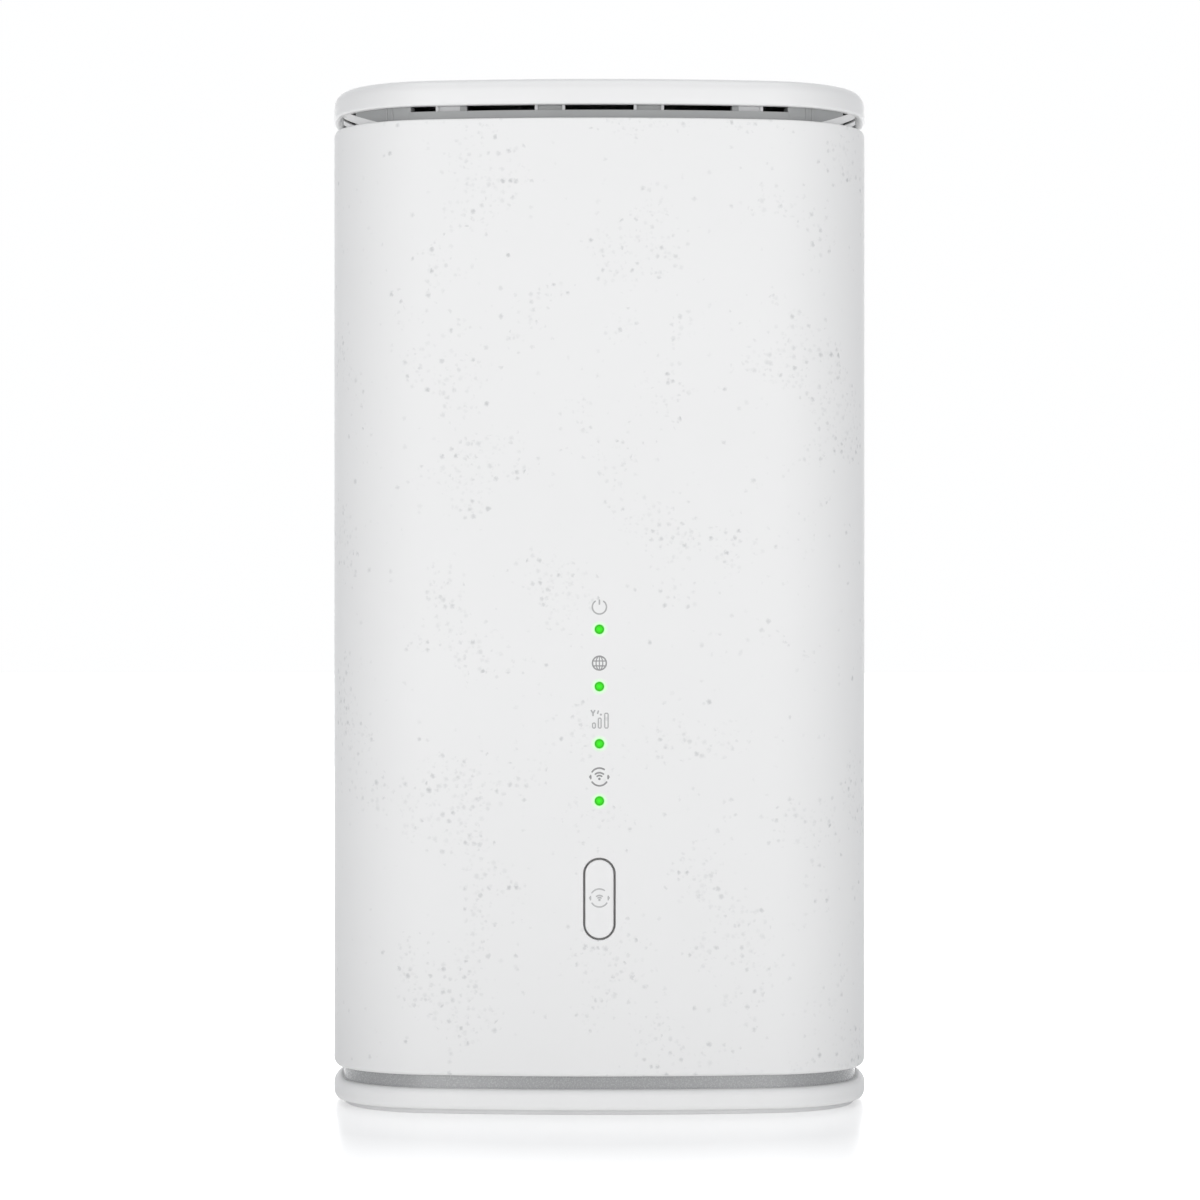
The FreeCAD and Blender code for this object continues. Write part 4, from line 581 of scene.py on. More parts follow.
SLEEVE_WALL = 2.2
SLEEVE_BOTTOM_ROUND = 1.1
SLEEVE_TOP_ROUND = 0.5
SLEEVE_LIP = 0.3
LIGHT_HALF_PATCH = 3.0
LIGHT_HOLE = 1.05
LIGHT_EDGE = 0.12
BUTTON_HALF_WIDTH = 3.33
BUTTON_HALF_HEIGHT = 9.2
BUTTON_GAP = 0.5
BUTTON_EDGE = 0.2
BUTTON_PATCH_WIDTH = 6.5
BUTTON_PATCH_HEIGHT = 13.0
PILL_CROWD = 1.6
BAY_HALF_WIDTH = 30.0
BAY_HALF_HEIGHT = 48.0
BAY_ROUND = 5.0
BAY_LOW = 14.0
BAY_EDGE = 0.5
BAY_MARGINS = (4.0, 2.6)
BAY_CROWD = 4.0
# The plain rows of the wall grid start this far from the rounded rims, and at this level under the button.
ROUND_MARGIN = 0.8
PLAIN_START = 17.0
light_boxes = [span_of(f"light_pipe_{number}") for number in range(1, 5)]
light_levels = [(low[2] + high[2]) / 2 for low, high in light_boxes]
cap_low, cap_high = span_of("front_button")
button_level = (cap_low[2] + cap_high[2]) / 2
wall_low = sleeve_low[2] + SLEEVE_BOTTOM_ROUND
wall_high = sleeve_high[2] - SLEEVE_TOP_ROUND
button_rows = np.linspace(button_level - BUTTON_PATCH_HEIGHT, button_level + BUTTON_PATCH_HEIGHT, 27)
plain_rows = np.linspace(PLAIN_START, button_rows[0], 4, endpoint=False)
wall_rows = [[wall_low + ROUND_MARGIN], plain_rows, button_rows]
for level in sorted(light_levels):
    light_rows = np.linspace(level - LIGHT_HALF_PATCH, level + LIGHT_HALF_PATCH, 13)
    wall_rows += [[(wall_rows[-1][-1] + light_rows[0]) / 2], light_rows]
wall_rows.append(np.linspace(wall_rows[-1][-1], wall_high - ROUND_MARGIN, 18)[1:])
wall_levels = np.concatenate(wall_rows)
sleeve_bottom, sleeve_top = sleeve_low[2], sleeve_high[2]
bottom_round = fillet((SLEEVE_BOTTOM_ROUND, sleeve_bottom), (0, wall_low), (0, sleeve_bottom))
top_round = fillet((0, wall_high), (SLEEVE_TOP_ROUND, sleeve_top), (0, sleeve_top), 6)
inner_top = fillet((SLEEVE_WALL - SLEEVE_LIP, sleeve_top), (SLEEVE_WALL, sleeve_top - SLEEVE_LIP),
                   (SLEEVE_WALL, sleeve_top), 3)
inner_bottom = fillet((SLEEVE_WALL, sleeve_bottom + SLEEVE_LIP), (SLEEVE_WALL - SLEEVE_LIP, sleeve_bottom),
                      (SLEEVE_WALL, sleeve_bottom), 3)
sleeve_profile = np.concatenate([
    bottom_round, [(0, level) for level in wall_levels], top_round, inner_top,
    [(SLEEVE_WALL, level) for level in wall_levels[::-1]], inner_bottom,
])
outer_start = len(bottom_round)
inner_start = outer_start + len(wall_levels) + len(top_round) + len(inner_top)
outer_rows = np.arange(outer_start, outer_start + len(wall_levels))
inner_rows = np.arange(inner_start, inner_start + len(wall_levels))[::-1]
front_middle = np.linspace(-BUTTON_PATCH_WIDTH, BUTTON_PATCH_WIDTH, 27)
front_side = np.linspace(BUTTON_PATCH_WIDTH, 39, 13)[1:]
front_places = np.concatenate([-front_side[::-1], front_middle, front_side])
rear_places = np.concatenate([[-38], np.linspace(-34, 34, 49), [38]])
sleeve_lap = lap_of(front_places, rear_places, np.linspace(-15, 15, 9), 32)
sleeve_openings = [Opening("front", 0.0, level, LIGHT_HOLE, LIGHT_HOLE, LIGHT_HOLE, LIGHT_EDGE,
                           LIGHT_HALF_PATCH, LIGHT_HALF_PATCH) for level in light_levels]
hole_width, hole_height = BUTTON_HALF_WIDTH + BUTTON_GAP, BUTTON_HALF_HEIGHT + BUTTON_GAP
sleeve_openings.append(Opening("front", 0.0, button_level, hole_width, hole_height, hole_width, BUTTON_EDGE,
                               BUTTON_PATCH_WIDTH, BUTTON_PATCH_HEIGHT, PILL_CROWD))
sleeve_openings.append(Opening("rear", 0.0, BAY_LOW + BAY_HALF_HEIGHT, BAY_HALF_WIDTH, BAY_HALF_HEIGHT,
                               BAY_ROUND, BAY_EDGE, BAY_HALF_WIDTH + BAY_MARGINS[0],
                               BAY_HALF_HEIGHT + BAY_MARGINS[1], BAY_CROWD))
sleeve_skin = Skin()
walled_shell(sleeve_skin, sleeve_lap, sleeve_profile, outer_rows, inner_rows, sleeve_openings)

SLEEVE_WHITE = (0.804, 0.802, 0.797)
DRIFT_SIZE = 21.0
# For each size of fleck: the spacing, the reach as a share of it, and the faintest and strongest grey.
FLECKS = ((1.75, 0.36, 0.1, 0.44), (1.25, 0.34, 0.04, 0.2))
WOBBLE_SCALE = 1700.0
WOBBLE_REACH = 0.0009
GLOW_REACH = 2.2
GLOW_STRENGTH = 0.28


def fleck_layer(made, place, drift, spacing, reach, faintest, strongest):
    """One size of fleck. Random points lie about a spacing apart, and the surface is grey where it passes
    within reach of one, in shares of the spacing. The drift says what share of the points count."""
    points = made.add("ShaderNodeTexVoronoi")
    made.fill(points.inputs["Vector"], place)
    points.inputs["Scale"].default_value = 1000 / spacing
    chance = made.add("ShaderNodeSeparateColor", points.outputs["Color"])
    size = made.ramp(chance.outputs[1], 0, 1, reach * 0.6, reach)
    spot = made.ramp(made.math("SUBTRACT", points.outputs["Distance"], size), -0.2, 0.12, 1, 0)
    there = made.math("LESS_THAN", chance.outputs[0], drift)
    strength = made.ramp(made.math("POWER", chance.outputs[2], 2.0), 0, 1, faintest, strongest)
    return made.math("MULTIPLY", made.math("MULTIPLY", spot, there), strength)


def painted_lamp_glow(made):
    """How close the surface is to the rim of a light hole, from 0 at the end of the glow to 1 at the rim. The
    glow is painted light from the lamps, put into the colour and the emission.
    """
    glow = 0.0
    for level in light_levels:
        away = made.add("ShaderNodeVectorMath", made.place, (0.0, -HALF_DEPTH / 1000, level / 1000),
                        operation="DISTANCE").outputs["Value"]
        ring = made.math("POWER", made.ramp(away, LIGHT_HOLE / 1000, GLOW_REACH / 1000, 1.0, 0.0), 1.6)
        glow = made.math("MAXIMUM", glow, ring)
    return glow


def flecked_white(name):
    """White resin with two sizes of soft grey fleck that gather in drifts, with a painted green glow of the
    lamps' light round the light holes, in the colour and as emission. A small wobble of the place keeps the
    flecks from being round."""
    made = Finish(name, 0.5, specular=0.2)
    shake = made.add("ShaderNodeTexNoise")
    made.fill(shake.inputs["Vector"], made.place)
    shake.inputs["Scale"].default_value = WOBBLE_SCALE
    small_shake = made.add("ShaderNodeVectorMath", shake.outputs["Color"], operation="SCALE")
    small_shake.inputs["Scale"].default_value = WOBBLE_REACH
    wobbled = made.add("ShaderNodeVectorMath", made.place, small_shake.outputs[0], operation="ADD").outputs[0]
    drift = made.ramp(made.noise(DRIFT_SIZE, 2.5), 0.5, 0.63, 0.04, 0.9)
    coarse, fine_flecks = (fleck_layer(made, wobbled, drift, *layer) for layer in FLECKS)
    flecks = made.math("MAXIMUM", coarse, fine_flecks)
    cloud = made.ramp(made.noise(55.0, 2.0), 0.3, 0.7)
    plain = made.mix(cloud, shade(*SLEEVE_WHITE, level=0.985), shade(*SLEEVE_WHITE))
    speckled = made.mix(flecks, plain, shade(0.27, 0.28, 0.29))
    # Painted light: the lamps' green glow round each light hole, put into the colour and the emission.
    glow = painted_lamp_glow(made)
    lit = made.mix(made.math("MULTIPLY", glow, 0.85), speckled, shade(0.60, 0.86, 0.55))
    made.colour(made.mix(made.ramp(glow, 0.72, 1.0), lit, shade(0.05, 0.45, 0.03)))
    made.shader.inputs["Emission Color"].default_value = shade(0.12, 1.0, 0.10)
    made.fill(made.shader.inputs["Emission Strength"], made.math("MULTIPLY", glow, GLOW_STRENGTH))
    grain = made.noise(0.5, 2.0)
    made.fill(made.shader.inputs["Roughness"], made.ramp(grain, 0.3, 0.7, 0.46, 0.56))
    made.relief(grain, 0.01, 0.15)
    return made


sleeve_white = flecked_white("sleeve_white_flecked")
add_piece("white_sleeve", sleeve_skin, sleeve_white, "housing", ["outer_sleeve"])

# ---------------------------------------------------------------- front button
# A white pill-shaped cap whose face follows the sleeve's curve. Its flange sits behind the sleeve wall in the
# guide, and a short boss on its back pushes the switch.

CAP_EDGE = 0.3
FLANGE_LIP = 1.8
FLANGE_FRONT = 41.2
FLANGE_BACK = 40.0
BOSS_RADIUS = 2.2
boss_end = -cap_high[1]
CAP_STEPS = 24
CAP_SHARES = (0.85, 0.6, 0.35, 0.15)


def cap_line(spread, share=1.0):
    """The cap's pill outline, widened all round and drawn in towards the middle by a share."""
    half_width, half_height = BUTTON_HALF_WIDTH + spread, BUTTON_HALF_HEIGHT + spread
    sideways, up = opening_line(half_width, half_height, half_width, CAP_STEPS, CAP_STEPS * 2, PILL_CROWD)
    return sideways * share, up * share + button_level


def cap_ring(out, spread=0.0, share=1.0):
    """One ring of the cap at a flat distance in front of the case's middle."""
    sideways, up = cap_line(spread, share)
    return np.stack([sideways, np.full_like(sideways, -out), up], -1)


cap_across, cap_up = cap_line(0.0)
boss_turn = np.arctan2(cap_up - button_level, cap_across)
boss_across, boss_up = BOSS_RADIUS * np.cos(boss_turn), BOSS_RADIUS * np.sin(boss_turn) + button_level
boss_ring = [np.stack([boss_across, np.full_like(boss_turn, -out), boss_up], -1)
             for out in (boss_end, FLANGE_BACK)]
button_skin = Skin()
cap_rings = boss_ring + [cap_ring(FLANGE_BACK, FLANGE_LIP), cap_ring(FLANGE_FRONT, FLANGE_LIP),
                         cap_ring(FLANGE_FRONT)]
for bend in np.linspace(0, QUARTER, 6):
    sideways, up = cap_line(CAP_EDGE * (math.cos(bend) - 1))
    cap_rings.append(wall_place("front", sideways, up, CAP_EDGE * (1 - math.sin(bend))))
for share in CAP_SHARES:
    sideways, up = cap_line(-CAP_EDGE, share)
    cap_rings.append(wall_place("front", sideways, up, 0.0))
button_skin.tube(cap_rings, (0, -boss_end, button_level), (0, -HALF_DEPTH, button_level))
cap_white = moulded("button_white_moulding", shade(*SLEEVE_WHITE), 0.48, mottle=0.012)
add_piece("button_cap", button_skin, cap_white, "button", ["front_button"])

# ---------------------------------------------------------------- light pipes
# Clear moulded pipes carry each lamp's light to the front. The narrow tip is domed and ends in the sleeve's
# surface, where it glows bright green.

PIPE_TIP = 1.0
PIPE_STEM = 2.1
PIPE_DOME = 0.25
PIPE_STEPS = 40
GLOW_STARTS = 42.5
GLOW_FULL = 43.6
SHOULDER = FLANGE_FRONT + 0.1


def glowing_acrylic(name):
    """Clear acrylic that is lit from behind: pale along the stem, green at the tip, brightest on its axis."""
    made = Finish(name, 0.25, specular=0.2)
    depth = made.add("ShaderNodeSeparateXYZ", made.place).outputs[1]
    near_tip = made.ramp(depth, -GLOW_STARTS / 1000, -GLOW_FULL / 1000)
    flat = made.add("ShaderNodeVectorMath", made.place, (1.0, 0.0, 1.0), operation="MULTIPLY").outputs[0]
    off_axis = 1.0
    for level in light_levels:
        away = made.add("ShaderNodeVectorMath", flat, (0.0, 0.0, level / 1000), operation="DISTANCE")
        off_axis = made.math("MINIMUM", off_axis, away.outputs["Value"])
    core = made.ramp(off_axis, 0.0, PIPE_TIP / 1000, 1.0, 0.0)
    cloudy = made.ramp(made.noise(0.9), 0.3, 0.7, 0.9, 1.0)
    made.colour(made.mix(near_tip, shade(0.45, 0.55, 0.45), shade(0.02, 0.16, 0.01)))
    made.fill(made.shader.inputs["Emission Color"],
              made.mix(core, shade(0.03, 0.38, 0.006), shade(0.02, 0.95, 0.001)))
    made.fill(made.shader.inputs["Emission Strength"],
              made.math("MULTIPLY", cloudy, made.ramp(near_tip, 0, 1, 0.25, 1.0)))
    return made


full_turn = np.linspace(0, 2 * math.pi, PIPE_STEPS, endpoint=False)


def turned_ring(level, out, radius):
    """A circle about a line that runs to the front, anticlockwise as seen from the front."""
    return np.stack([radius * np.cos(full_turn), np.full_like(full_turn, -out),
                     level + radius * np.sin(full_turn)], -1)


pipe_glow = glowing_acrylic("light_pipe_acrylic")
for number, (box, level) in enumerate(zip(light_boxes, light_levels), start=1):
    stem_back = -box[1][1]
    dome_back = HALF_DEPTH - PIPE_DOME
    profile = [(stem_back, PIPE_STEM), (SHOULDER, PIPE_STEM), (SHOULDER, PIPE_TIP), (dome_back, PIPE_TIP)]
    profile += [(dome_back + PIPE_DOME * math.sin(bend), PIPE_TIP * math.cos(bend))
                for bend in np.linspace(0, QUARTER, 8)[1:-1]]
    pipe_skin = Skin()
    pipe_skin.tube([turned_ring(level, out, radius) for out, radius in profile], (0, -stem_back, level),
                   (0, -HALF_DEPTH, level))
    add_piece(f"glow_pipe_{number}", pipe_skin, pipe_glow, "housing", [f"light_pipe_{number}"])

# ---------------------------------------------------------------- printed marks
# Thin grey ink is pad-printed on the sleeve over each light, and on the button: power, globe, signal bars and
# a wireless fan inside turning arrows. Each line of ink is a flat oval strip.

INK_THICK = 0.02
INK_SIDES = 8


def ink_strip(skin, across, level, width, closed=False):
    """A strip of ink along a path on the front wall. Its section is a flat oval, square to the path, and an
    open strip narrows to nothing at its ends."""
    path = np.stack([across, level], -1)
    if closed:
        heading = np.roll(path, -1, 0) - np.roll(path, 1, 0)
    else:
        heading = np.gradient(path, axis=0)
    heading = heading / np.linalg.norm(heading, axis=1, keepdims=True)
    sides = np.linspace(0, 2 * math.pi, INK_SIDES, endpoint=False)
    swell = np.ones(len(path))
    if not closed:
        run = np.concatenate([[0], np.cumsum(np.linalg.norm(np.diff(path, axis=0), axis=1))])
        to_end = np.minimum(run, run[-1] - run) / (width / 2)
        swell = np.sqrt(1 - (1 - np.clip(to_end, 0.03, 1)) ** 2)
    shift = width / 2 * swell[:, None] * np.cos(sides)
    sideways = path[:, :1] - heading[:, 1:] * shift
    up = path[:, 1:] + heading[:, :1] * shift
    proud = INK_THICK * swell[:, None] * np.sin(sides)
    points = wall_place("front", sideways, up, -proud)
    numbers = skin.add(points)
    numbers = np.hstack([numbers, numbers[:, :1]])
    if closed:
        numbers = np.vstack([numbers, numbers[:1]])
    else:
        skin.faces += [numbers[0, -2::-1].tolist(), numbers[-1, :-1].tolist()]
    skin.quads(numbers)


def ink_arc(skin, middle, radius, start, stop, width):
    """An arc of ink, from one angle to another in degrees, or a whole ring."""
    whole = abs(stop - start) >= 360
    bend = np.radians(np.linspace(start, stop, 48, endpoint=not whole))
    radii = np.broadcast_to(radius, 2)
    ink_strip(skin, middle[0] + radii[0] * np.cos(bend), middle[1] + radii[1] * np.sin(bend), width, whole)


def ink_line(skin, start, stop, width):
    """A straight line of ink."""
    run = np.linspace(0, 1, 14)
    ink_strip(skin, start[0] + (stop[0] - start[0]) * run, start[1] + (stop[1] - start[1]) * run, width)


def ink_mark(name, lines, tint, body="housing"):
    """One printed mark from its arcs and lines."""
    skin = Skin()
    for kind, *terms in lines:
        (ink_arc if kind == "arc" else ink_line)(skin, *terms)
    made = moulded(f"{name}_ink", shade(tint), 0.6, mottle=0.12, grain=0.3)
    return add_piece(name, skin, made, body)


def fan_and_arrows(level, ring, fan_share, width):
    """The wireless fan of two arcs and a dot, with turning arrows round it."""
    fan = (0.0, level - 0.22 * ring)
    lines = [("arc", fan, 0.38 * ring * fan_share, 35, 145, width),
             ("arc", fan, 0.7 * ring * fan_share, 42, 138, width), ("arc", fan, 0.05 * ring, 0, 360, width)]
    lines += [("arc", (0.0, level), ring, start, stop, width)
              for start, stop in ((52, 150), (166, 196), (210, 330), (344, 374))]
    for way in (-1, 1):
        lines.append(("arc", (way * 1.02 * ring, level), 0.05 * ring, 0, 360, width))
    return lines


# How far each mark's middle is over its light, and the widths of the ink lines.
MARK_LIFTS = (5.25, 5.5, 5.85, 5.65)
LINE = 0.36
FINE_LINE = 0.26
BAR_LINE = 0.3
mark_levels = [level + lift for level, lift in zip(light_levels, MARK_LIFTS)]
power_level, globe_level, signal_level, mesh_level = mark_levels
ink_mark("power_mark", [("arc", (0.0, power_level), 1.66, 119, 421, LINE),
                        ("line", (0.0, power_level + 0.5), (0.0, power_level + 1.8), LINE)], 0.42)
globe = (0.0, globe_level)
ink_mark("globe_mark", [("arc", globe, 1.62, 0, 360, LINE), ("arc", globe, (0.78, 1.62), 0, 360, FINE_LINE),
                        ("line", (0.0, globe_level - 1.6), (0.0, globe_level + 1.6), FINE_LINE),
                        ("line", (-1.5, globe_level + 0.5), (1.5, globe_level + 0.5), FINE_LINE),
                        ("line", (-1.45, globe_level - 0.65), (1.45, globe_level - 0.65), BAR_LINE)], 0.33)
signal_lines = [("line", (-1.5, signal_level + 0.6), (-1.5, signal_level + 1.7), LINE),
                ("line", (-2.0, signal_level + 2.1), (-1.5, signal_level + 1.3), LINE),
                ("line", (-1.0, signal_level + 2.1), (-1.5, signal_level + 1.3), LINE),
                ("line", (-0.45, signal_level + 1.1), (-0.2, signal_level + 2.0), LINE),
                ("arc", (0.35, signal_level + 1.0), 0.12, 0, 360, FINE_LINE)]
for left, right, top in ((-1.6, -0.95, -1.0), (-0.25, 0.4, 0.15), (1.25, 2.05, 1.3)):
    corners = ((left, -2.15), (right, -2.15), (right, top), (left, top), (left, -2.15))
    signal_lines += [("line", (x, signal_level + y), (next_x, signal_level + next_y), BAR_LINE)
                     for (x, y), (next_x, next_y) in zip(corners, corners[1:])]
ink_mark("signal_mark", signal_lines, 0.45)
ink_mark("mesh_mark", fan_and_arrows(mesh_level, 2.08, 1.0, 0.4), 0.3)
ink_mark("button_mark", fan_and_arrows(button_level + 0.25, 2.12, 0.72, LINE), 0.5, "button")

# ---------------------------------------------------------------- vent ring and corner fins
# A grey ring carries the lid over the sleeve. Slots under the lid let warm air out, and each corner is open,
# with pale leaning fins across the opening that stand in for the glints there: painted highlights.

BAR_EDGE = 0.12


def case_bar(skin, start, stop, insets, levels, steps, lean=0.0, edge=BAR_EDGE):
    """A bar that follows the outline from one run to another, with rounded edges all round. Its section is a
    rounded rectangle of inset and level, drawn in at both ends, and its runs lean with the level."""
    middle_inset, half_inset = (insets[0] + insets[1]) / 2, (insets[1] - insets[0]) / 2
    middle_level, half_level = (levels[0] + levels[1]) / 2, (levels[1] - levels[0]) / 2
    ends = [(edge * (1 - math.cos(bend)), edge * (1 - math.sin(bend))) for bend in np.linspace(0, QUARTER, 4)]
    runs = [start + shift for shift, _ in ends]
    runs += list(np.linspace(start + edge, stop - edge, steps + 1)[1:-1])
    runs += [stop - shift for shift, _ in ends[::-1]]
    drawn = [pull for _, pull in ends] + [0.0] * (steps - 1) + [pull for _, pull in ends[::-1]]
    lines = []
    for run, pull in zip(runs, drawn):
        wide, high = opening_line(half_inset - pull, half_level - pull, max(edge - pull, 0.02), 6, 6)
        level = middle_level + high
        across, along = outline(turn_at(run + lean * (level - levels[0])), middle_inset + wide)
        lines.append(np.stack([across, along, level], -1))
    numbers = skin.add(np.stack(lines))
    skin.faces += [numbers[0].tolist(), numbers[-1, ::-1].tolist()]
    skin.quads(np.hstack([numbers, numbers[:, :1]])[:, ::-1])


ring_low, ring_high = span_of("vent_ring")
VENT_INSET = 1.4
SLOT_HEIGHT = 1.2
# Runs along the front wall from its middle: where the grey band ends, where it starts again on the side, and
# where each slot, rib and fin starts and stops.
BAND_END = 64.0
SIDE_START = 73.0
RIB_SET_BACK = 0.7
SPIGOT_ROUND = 0.5
SLOT_ENDS = (8.15, 15.35, 31.65, 39.1, 45.7)
RIBS = (SLOT_ENDS[0:2], SLOT_ENDS[2:4])
TALL_RIBS = ((50.3, 50.8), (52.0, 52.5))
band_levels = (sleeve_top - 0.3, ring_high[2] - SLOT_HEIGHT)
rib_levels = (band_levels[1] - 0.2, ring_high[2])
fin_levels = (band_levels[0], ring_high[2] + 0.05)
ring_insets = (VENT_INSET, RING_INNER)
rib_insets = (VENT_INSET + RIB_SET_BACK, RING_INNER)
corner_insets = (VENT_INSET + 0.15, RING_INNER)
tall_insets = (VENT_INSET - 0.1, VENT_INSET + 1.0)


def four_bars(skin, start, stop, insets, levels, steps, lean=0.0, edge=BAR_EDGE):
    """The same bar on both halves of the front wall and of the rear wall, leaning outwards with the level."""
    for middle in (0.0, HALF_LAP):
        for way in (-1, 1):
            near, far = sorted((middle + way * start, middle + way * stop))
            case_bar(skin, near, far, insets, levels, steps, way * lean, edge)


spigot_low, spigot_high = ring_low[2], sleeve_top - 0.4
spigot = fillet((SPIGOT_INSET + SPIGOT_ROUND, spigot_low), (SPIGOT_INSET, spigot_low + SPIGOT_ROUND),
                (SPIGOT_INSET, spigot_low), 3)
spigot = np.concatenate([
    spigot, [(SPIGOT_INSET, spigot_high), (RING_INNER, spigot_high), (RING_INNER, spigot_low)], spigot[:1],
])
vent_skin = Skin()
vent_skin.tube([case_ring(inset, level) for inset, level in spigot])
case_bar(vent_skin, -SLOT_ENDS[4], SLOT_ENDS[4], ring_insets, band_levels, 60)
case_bar(vent_skin, HALF_LAP - SLOT_ENDS[4], HALF_LAP, ring_insets, band_levels, 30)
case_bar(vent_skin, HALF_LAP, HALF_LAP + SLOT_ENDS[4], ring_insets, band_levels, 30)
for start, stop in RIBS:
    four_bars(vent_skin, start, stop, rib_insets, rib_levels, 6)
four_bars(vent_skin, SLOT_ENDS[4] - 0.3, BAND_END, corner_insets, fin_levels, 16)
for start, stop in TALL_RIBS:
    four_bars(vent_skin, start, stop, tall_insets, (band_levels[0], ring_high[2]), 3)
reach = SIDE_MIDDLE - SIDE_START
for middle in (SIDE_MIDDLE, -SIDE_MIDDLE):
    case_bar(vent_skin, middle - reach, middle + reach, ring_insets, band_levels, 24)
    for start, stop in ((-reach, -SLOT_ENDS[0]), (SLOT_ENDS[0], reach)):
        case_bar(vent_skin, middle + start, middle + stop, ring_insets, rib_levels, 8)
vent_grey = moulded("vent_grey_moulding", shade(0.33, 0.335, 0.335), 0.42, mottle=0.05)
add_piece("vent_band", vent_skin, vent_grey, "housing", ["vent_ring"])

FIN_INSETS = (1.5, 2.4)
FINS = ((53.2, 60.2), (62.6, 66.6))
# The run gained for each millimetre of level.
FIN_LEAN = 3.9
# The corner fins are painted highlights: pale slanted strips in the lid's white, placed for the glints in the
# corner openings.
glint_fin_skin = Skin()
for start, stop in FINS:
    four_bars(glint_fin_skin, start, stop, FIN_INSETS, fin_levels, 10, FIN_LEAN)
lid_white = moulded("lid_white_moulding", shade(0.78, 0.778, 0.774), 0.38, mottle=0.012, specular=0.6)
add_piece("corner_glint_fins", glint_fin_skin, lid_white, "housing", ["lid_posts"])

# ---------------------------------------------------------------- highlight tabs
# Small pale tabs beside each rib of the vent ring are painted highlights. They stand in for light caught on
# the ribs' rounded ends and on the outer ribs, and show as bright dashes at the ends of the dark slots.

TAB_WIDE = 0.7
TAB_INSETS = (VENT_INSET + 0.2, VENT_INSET + 1.4)
DEEP_TAB_INSETS = (VENT_INSET + 0.65, VENT_INSET + 1.4)
TAB_EDGE = 0.1
TABS = ((SLOT_ENDS[0], SLOT_ENDS[0] + TAB_WIDE, TAB_INSETS),
        (SLOT_ENDS[1] - TAB_WIDE, SLOT_ENDS[1], TAB_INSETS),
        (SLOT_ENDS[3] - TAB_WIDE, SLOT_ENDS[3], TAB_INSETS),
        (SLOT_ENDS[2] + 1.6, SLOT_ENDS[3], DEEP_TAB_INSETS))
tab_skin = Skin()
for start, stop, insets in TABS:
    four_bars(tab_skin, start, stop, insets, rib_levels, 3, edge=TAB_EDGE)
# Painted highlight: a pale grey for the light caught on the ribs.
highlight_tab_grey = moulded("painted_highlight_tab_grey", shade(0.56, 0.56, 0.565), 0.45, mottle=0.04)
add_piece("highlight_tabs", tab_skin, highlight_tab_grey, "housing")

# ---------------------------------------------------------------- lid
# A white moulded cap with a rounded upper edge, hollow underneath. Two bosses under it take the screws from
# the bridge, and a black baffle closes the view down into the case: a dark sheet that paints the shade under
# the lid, so that the slots read black.

LID_SKIRT = 2.4
LID_TOP_ROUND = 2.8
LID_EDGE_ROUND = 0.6
LID_HOLLOW = 3.5
BOSS_PLACE = 30.0
LID_BOSS_RADIUS = 3.5
LID_SHARES = (0.97, 0.85, 0.6, 0.25)
boss_bottom, lid_top = (corner[2] for corner in span_of("top_lid"))
lid_bottom = ring_high[2]
ceiling = lid_bottom + LID_HOLLOW
boss_top = ceiling + 0.5
lid_profile = np.concatenate([
    [(LID_SKIRT, ceiling)],
    fillet((LID_SKIRT, lid_bottom + 0.3), (LID_SKIRT - 0.3, lid_bottom), (LID_SKIRT, lid_bottom), 3),
    fillet((LID_EDGE_ROUND, lid_bottom), (0, lid_bottom + LID_EDGE_ROUND), (0, lid_bottom), 6),
    fillet((0, lid_top - LID_TOP_ROUND), (LID_TOP_ROUND, lid_top), (0, lid_top), 10),
])
lid_skin = Skin()
lid_rings = [case_ring(LID_SKIRT, ceiling, share) for share in FLAT_SHARES]
lid_rings += [case_ring(inset, level) for inset, level in lid_profile]
lid_rings += [case_ring(LID_TOP_ROUND, lid_top, share) for share in LID_SHARES]
lid_skin.tube(lid_rings, (0, 0, ceiling), (0, 0, lid_top))
for middle in (-BOSS_PLACE, BOSS_PLACE):
    boss = [np.stack([middle + LID_BOSS_RADIUS * np.cos(full_turn), LID_BOSS_RADIUS * np.sin(full_turn),
                      np.full_like(full_turn, level)], -1) for level in (boss_bottom, boss_top)]
    lid_skin.tube(boss, (middle, 0, boss_bottom), (middle, 0, boss_top))
add_piece("lid_cap", lid_skin, lid_white, "housing", ["top_lid"])

# ---------------------------------------------------------------- studio
# A pale floor with a painted glow, emission that grows with the distance from the middle, so that the floor
# is darker near the object and turns to plain white away from it. The soft light round it is bright in front
# and behind and dim and slightly cool at the sides, with two softboxes in front, one behind and one above.

FLOOR_HALF = 12.0
FLOOR_GLOW_RADII = (0.095, 0.17)
FLOOR_GLOW = (0.29, 0.52)
floor_mesh = bpy.data.meshes.new("studio_floor")
corners = [(x * FLOOR_HALF, y * FLOOR_HALF, 0) for x, y in ((-1, -1), (1, -1), (1, 1), (-1, 1))]
floor_mesh.from_pydata(corners, [], [(0, 1, 2, 3)])
floor = bpy.data.objects.new("studio_floor", floor_mesh)
bpy.context.scene.collection.objects.link(floor)
floor_finish = Finish("pale_floor", 0.2, specular=0.22)
floor_finish.colour(floor_finish.mix(floor_finish.noise(400.0), shade(0.757), shade(0.772)))
floor_finish.shader.inputs["Emission Color"].default_value = shade(1.0)
# Painted light: the floor's emission grows with the distance from the middle.
off_middle = floor_finish.add("ShaderNodeVectorMath", floor_finish.place, operation="LENGTH").outputs["Value"]
floor_glow = floor_finish.ramp(off_middle, *FLOOR_GLOW_RADII, *FLOOR_GLOW)
floor_finish.fill(floor_finish.shader.inputs["Emission Strength"], floor_glow)
floor_mesh.materials.append(floor_finish.material)

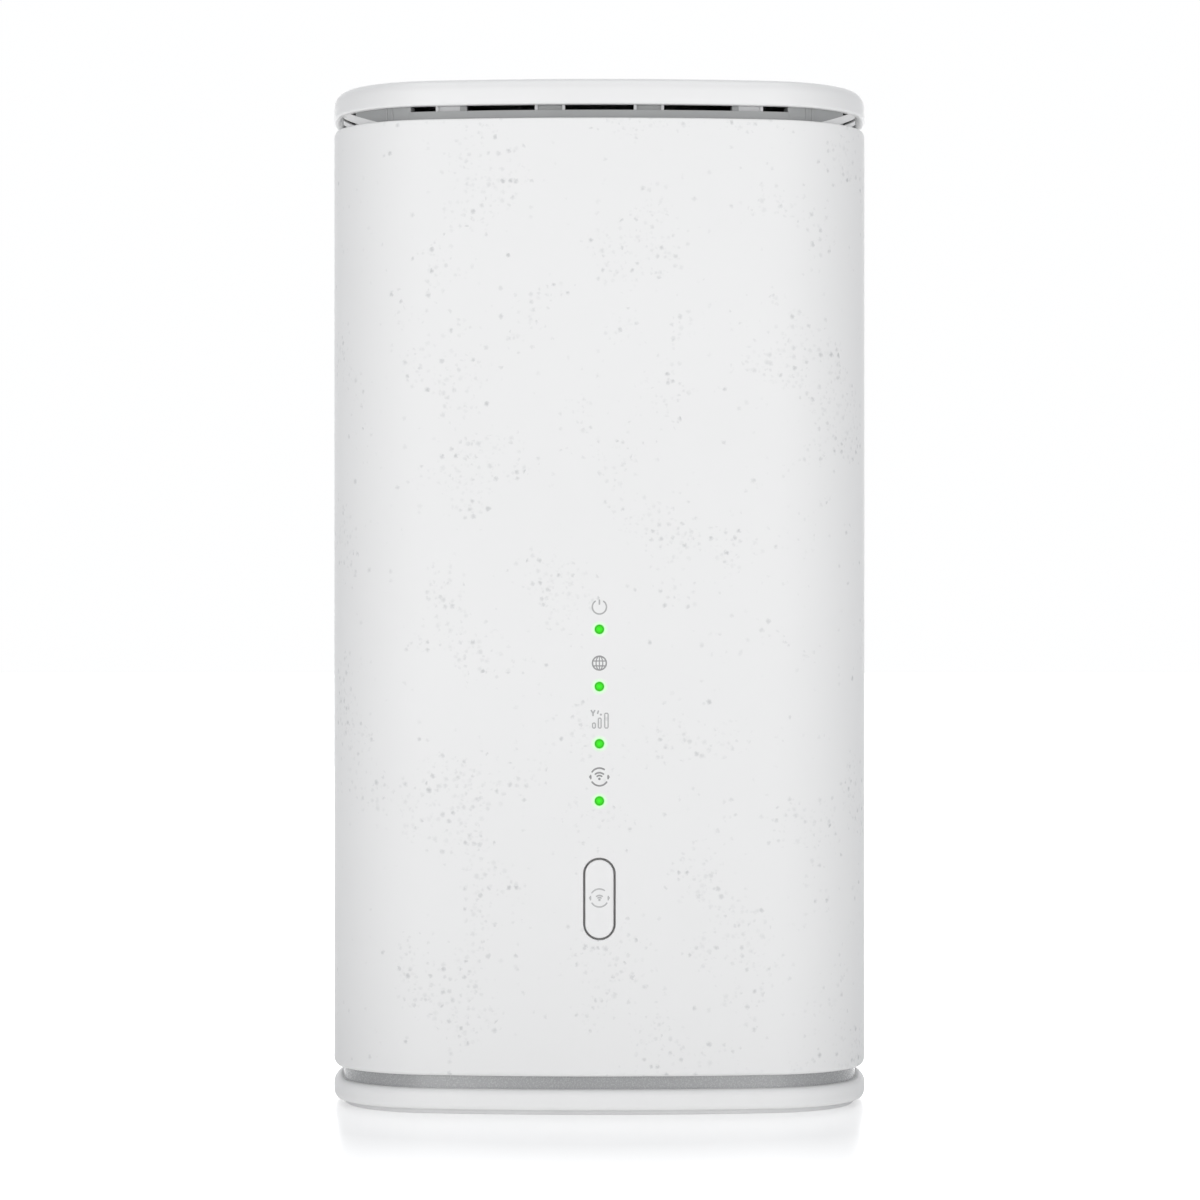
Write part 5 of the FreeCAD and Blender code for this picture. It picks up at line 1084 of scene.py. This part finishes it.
# The sky's strength, from the sides to the front and the rear. The camera sees plain white instead.
DEPTHWISE = (0.15, 0.9)
SKY_STRENGTH = (0.2, 0.97)
world = bpy.data.worlds.new("studio_world")
bpy.context.scene.world = world
world.use_nodes = True
sky = world.node_tree.nodes
backdrop = sky["Background"]
toward = sky.new("ShaderNodeTexCoord")
parts = sky.new("ShaderNodeSeparateXYZ")
depthwise = sky.new("ShaderNodeMath")
depthwise.operation = "ABSOLUTE"
soft_light = sky.new("ShaderNodeMapRange")
soft_light.interpolation_type = "SMOOTHSTEP"
for socket, value in zip(soft_light.inputs[1:5], DEPTHWISE + SKY_STRENGTH):
    socket.default_value = value
seen = sky.new("ShaderNodeLightPath")
brightness = sky.new("ShaderNodeMix")
brightness.inputs[3].default_value = 1.0
tint = sky.new("ShaderNodeMix")
tint.data_type = "RGBA"
tint.inputs[6].default_value = shade(0.90, 0.95, 1.05)
tint.inputs[7].default_value = shade(1.0)
for start, stop in ((toward.outputs["Generated"], parts.inputs[0]), (parts.outputs["Y"], depthwise.inputs[0]),
                    (depthwise.outputs[0], soft_light.inputs[0]),
                    (seen.outputs["Is Camera Ray"], brightness.inputs[0]),
                    (soft_light.outputs[0], brightness.inputs[2]),
                    (brightness.outputs[0], backdrop.inputs["Strength"]),
                    (soft_light.outputs[0], tint.inputs[0]), (tint.outputs[2], backdrop.inputs["Color"])):
    world.node_tree.links.new(start, stop)

LAMP_AIM = Vector((0.0, 0.0, 0.12))
SOFTBOXES = (("left_softbox", (-0.95, -2.4, 0.45), 1.0, 1.0, 6.5),
             ("right_softbox", (0.95, -2.4, 0.45), 1.0, 1.0, 5.0),
             ("rear_softbox", (0.0, 2.4, 0.6), 1.6, 1.2, 8.0),
             ("top_softbox", (0.0, -0.2, 2.2), 1.6, 1.6, 14.0))
for name, place, wide, high, power in SOFTBOXES:
    lamp_data = bpy.data.lights.new(name, "AREA")
    lamp_data.shape = "RECTANGLE"
    lamp_data.size = wide
    lamp_data.size_y = high
    lamp_data.energy = power
    lamp_object = bpy.data.objects.new(name, lamp_data)
    lamp_object.visible_camera = False
    bpy.context.scene.collection.objects.link(lamp_object)
    lamp_object.location = place
    lamp_object.rotation_euler = (LAMP_AIM - lamp_object.location).to_track_quat("-Z", "Y").to_euler()

camera_data = bpy.data.cameras.new("product_camera")
camera_data.lens = 117.05
camera_data.sensor_width = 36.0
camera_data.shift_x = 0.0005
camera_data.shift_y = 0.0331
camera = bpy.data.objects.new("product_camera", camera_data)
camera.location = (0.0, -0.961, 0.112)
camera.rotation_euler = (QUARTER, 0.0, 0.0)
bpy.context.scene.collection.objects.link(camera)
bpy.context.scene.camera = camera
bpy.context.scene.view_settings.view_transform = "Standard"
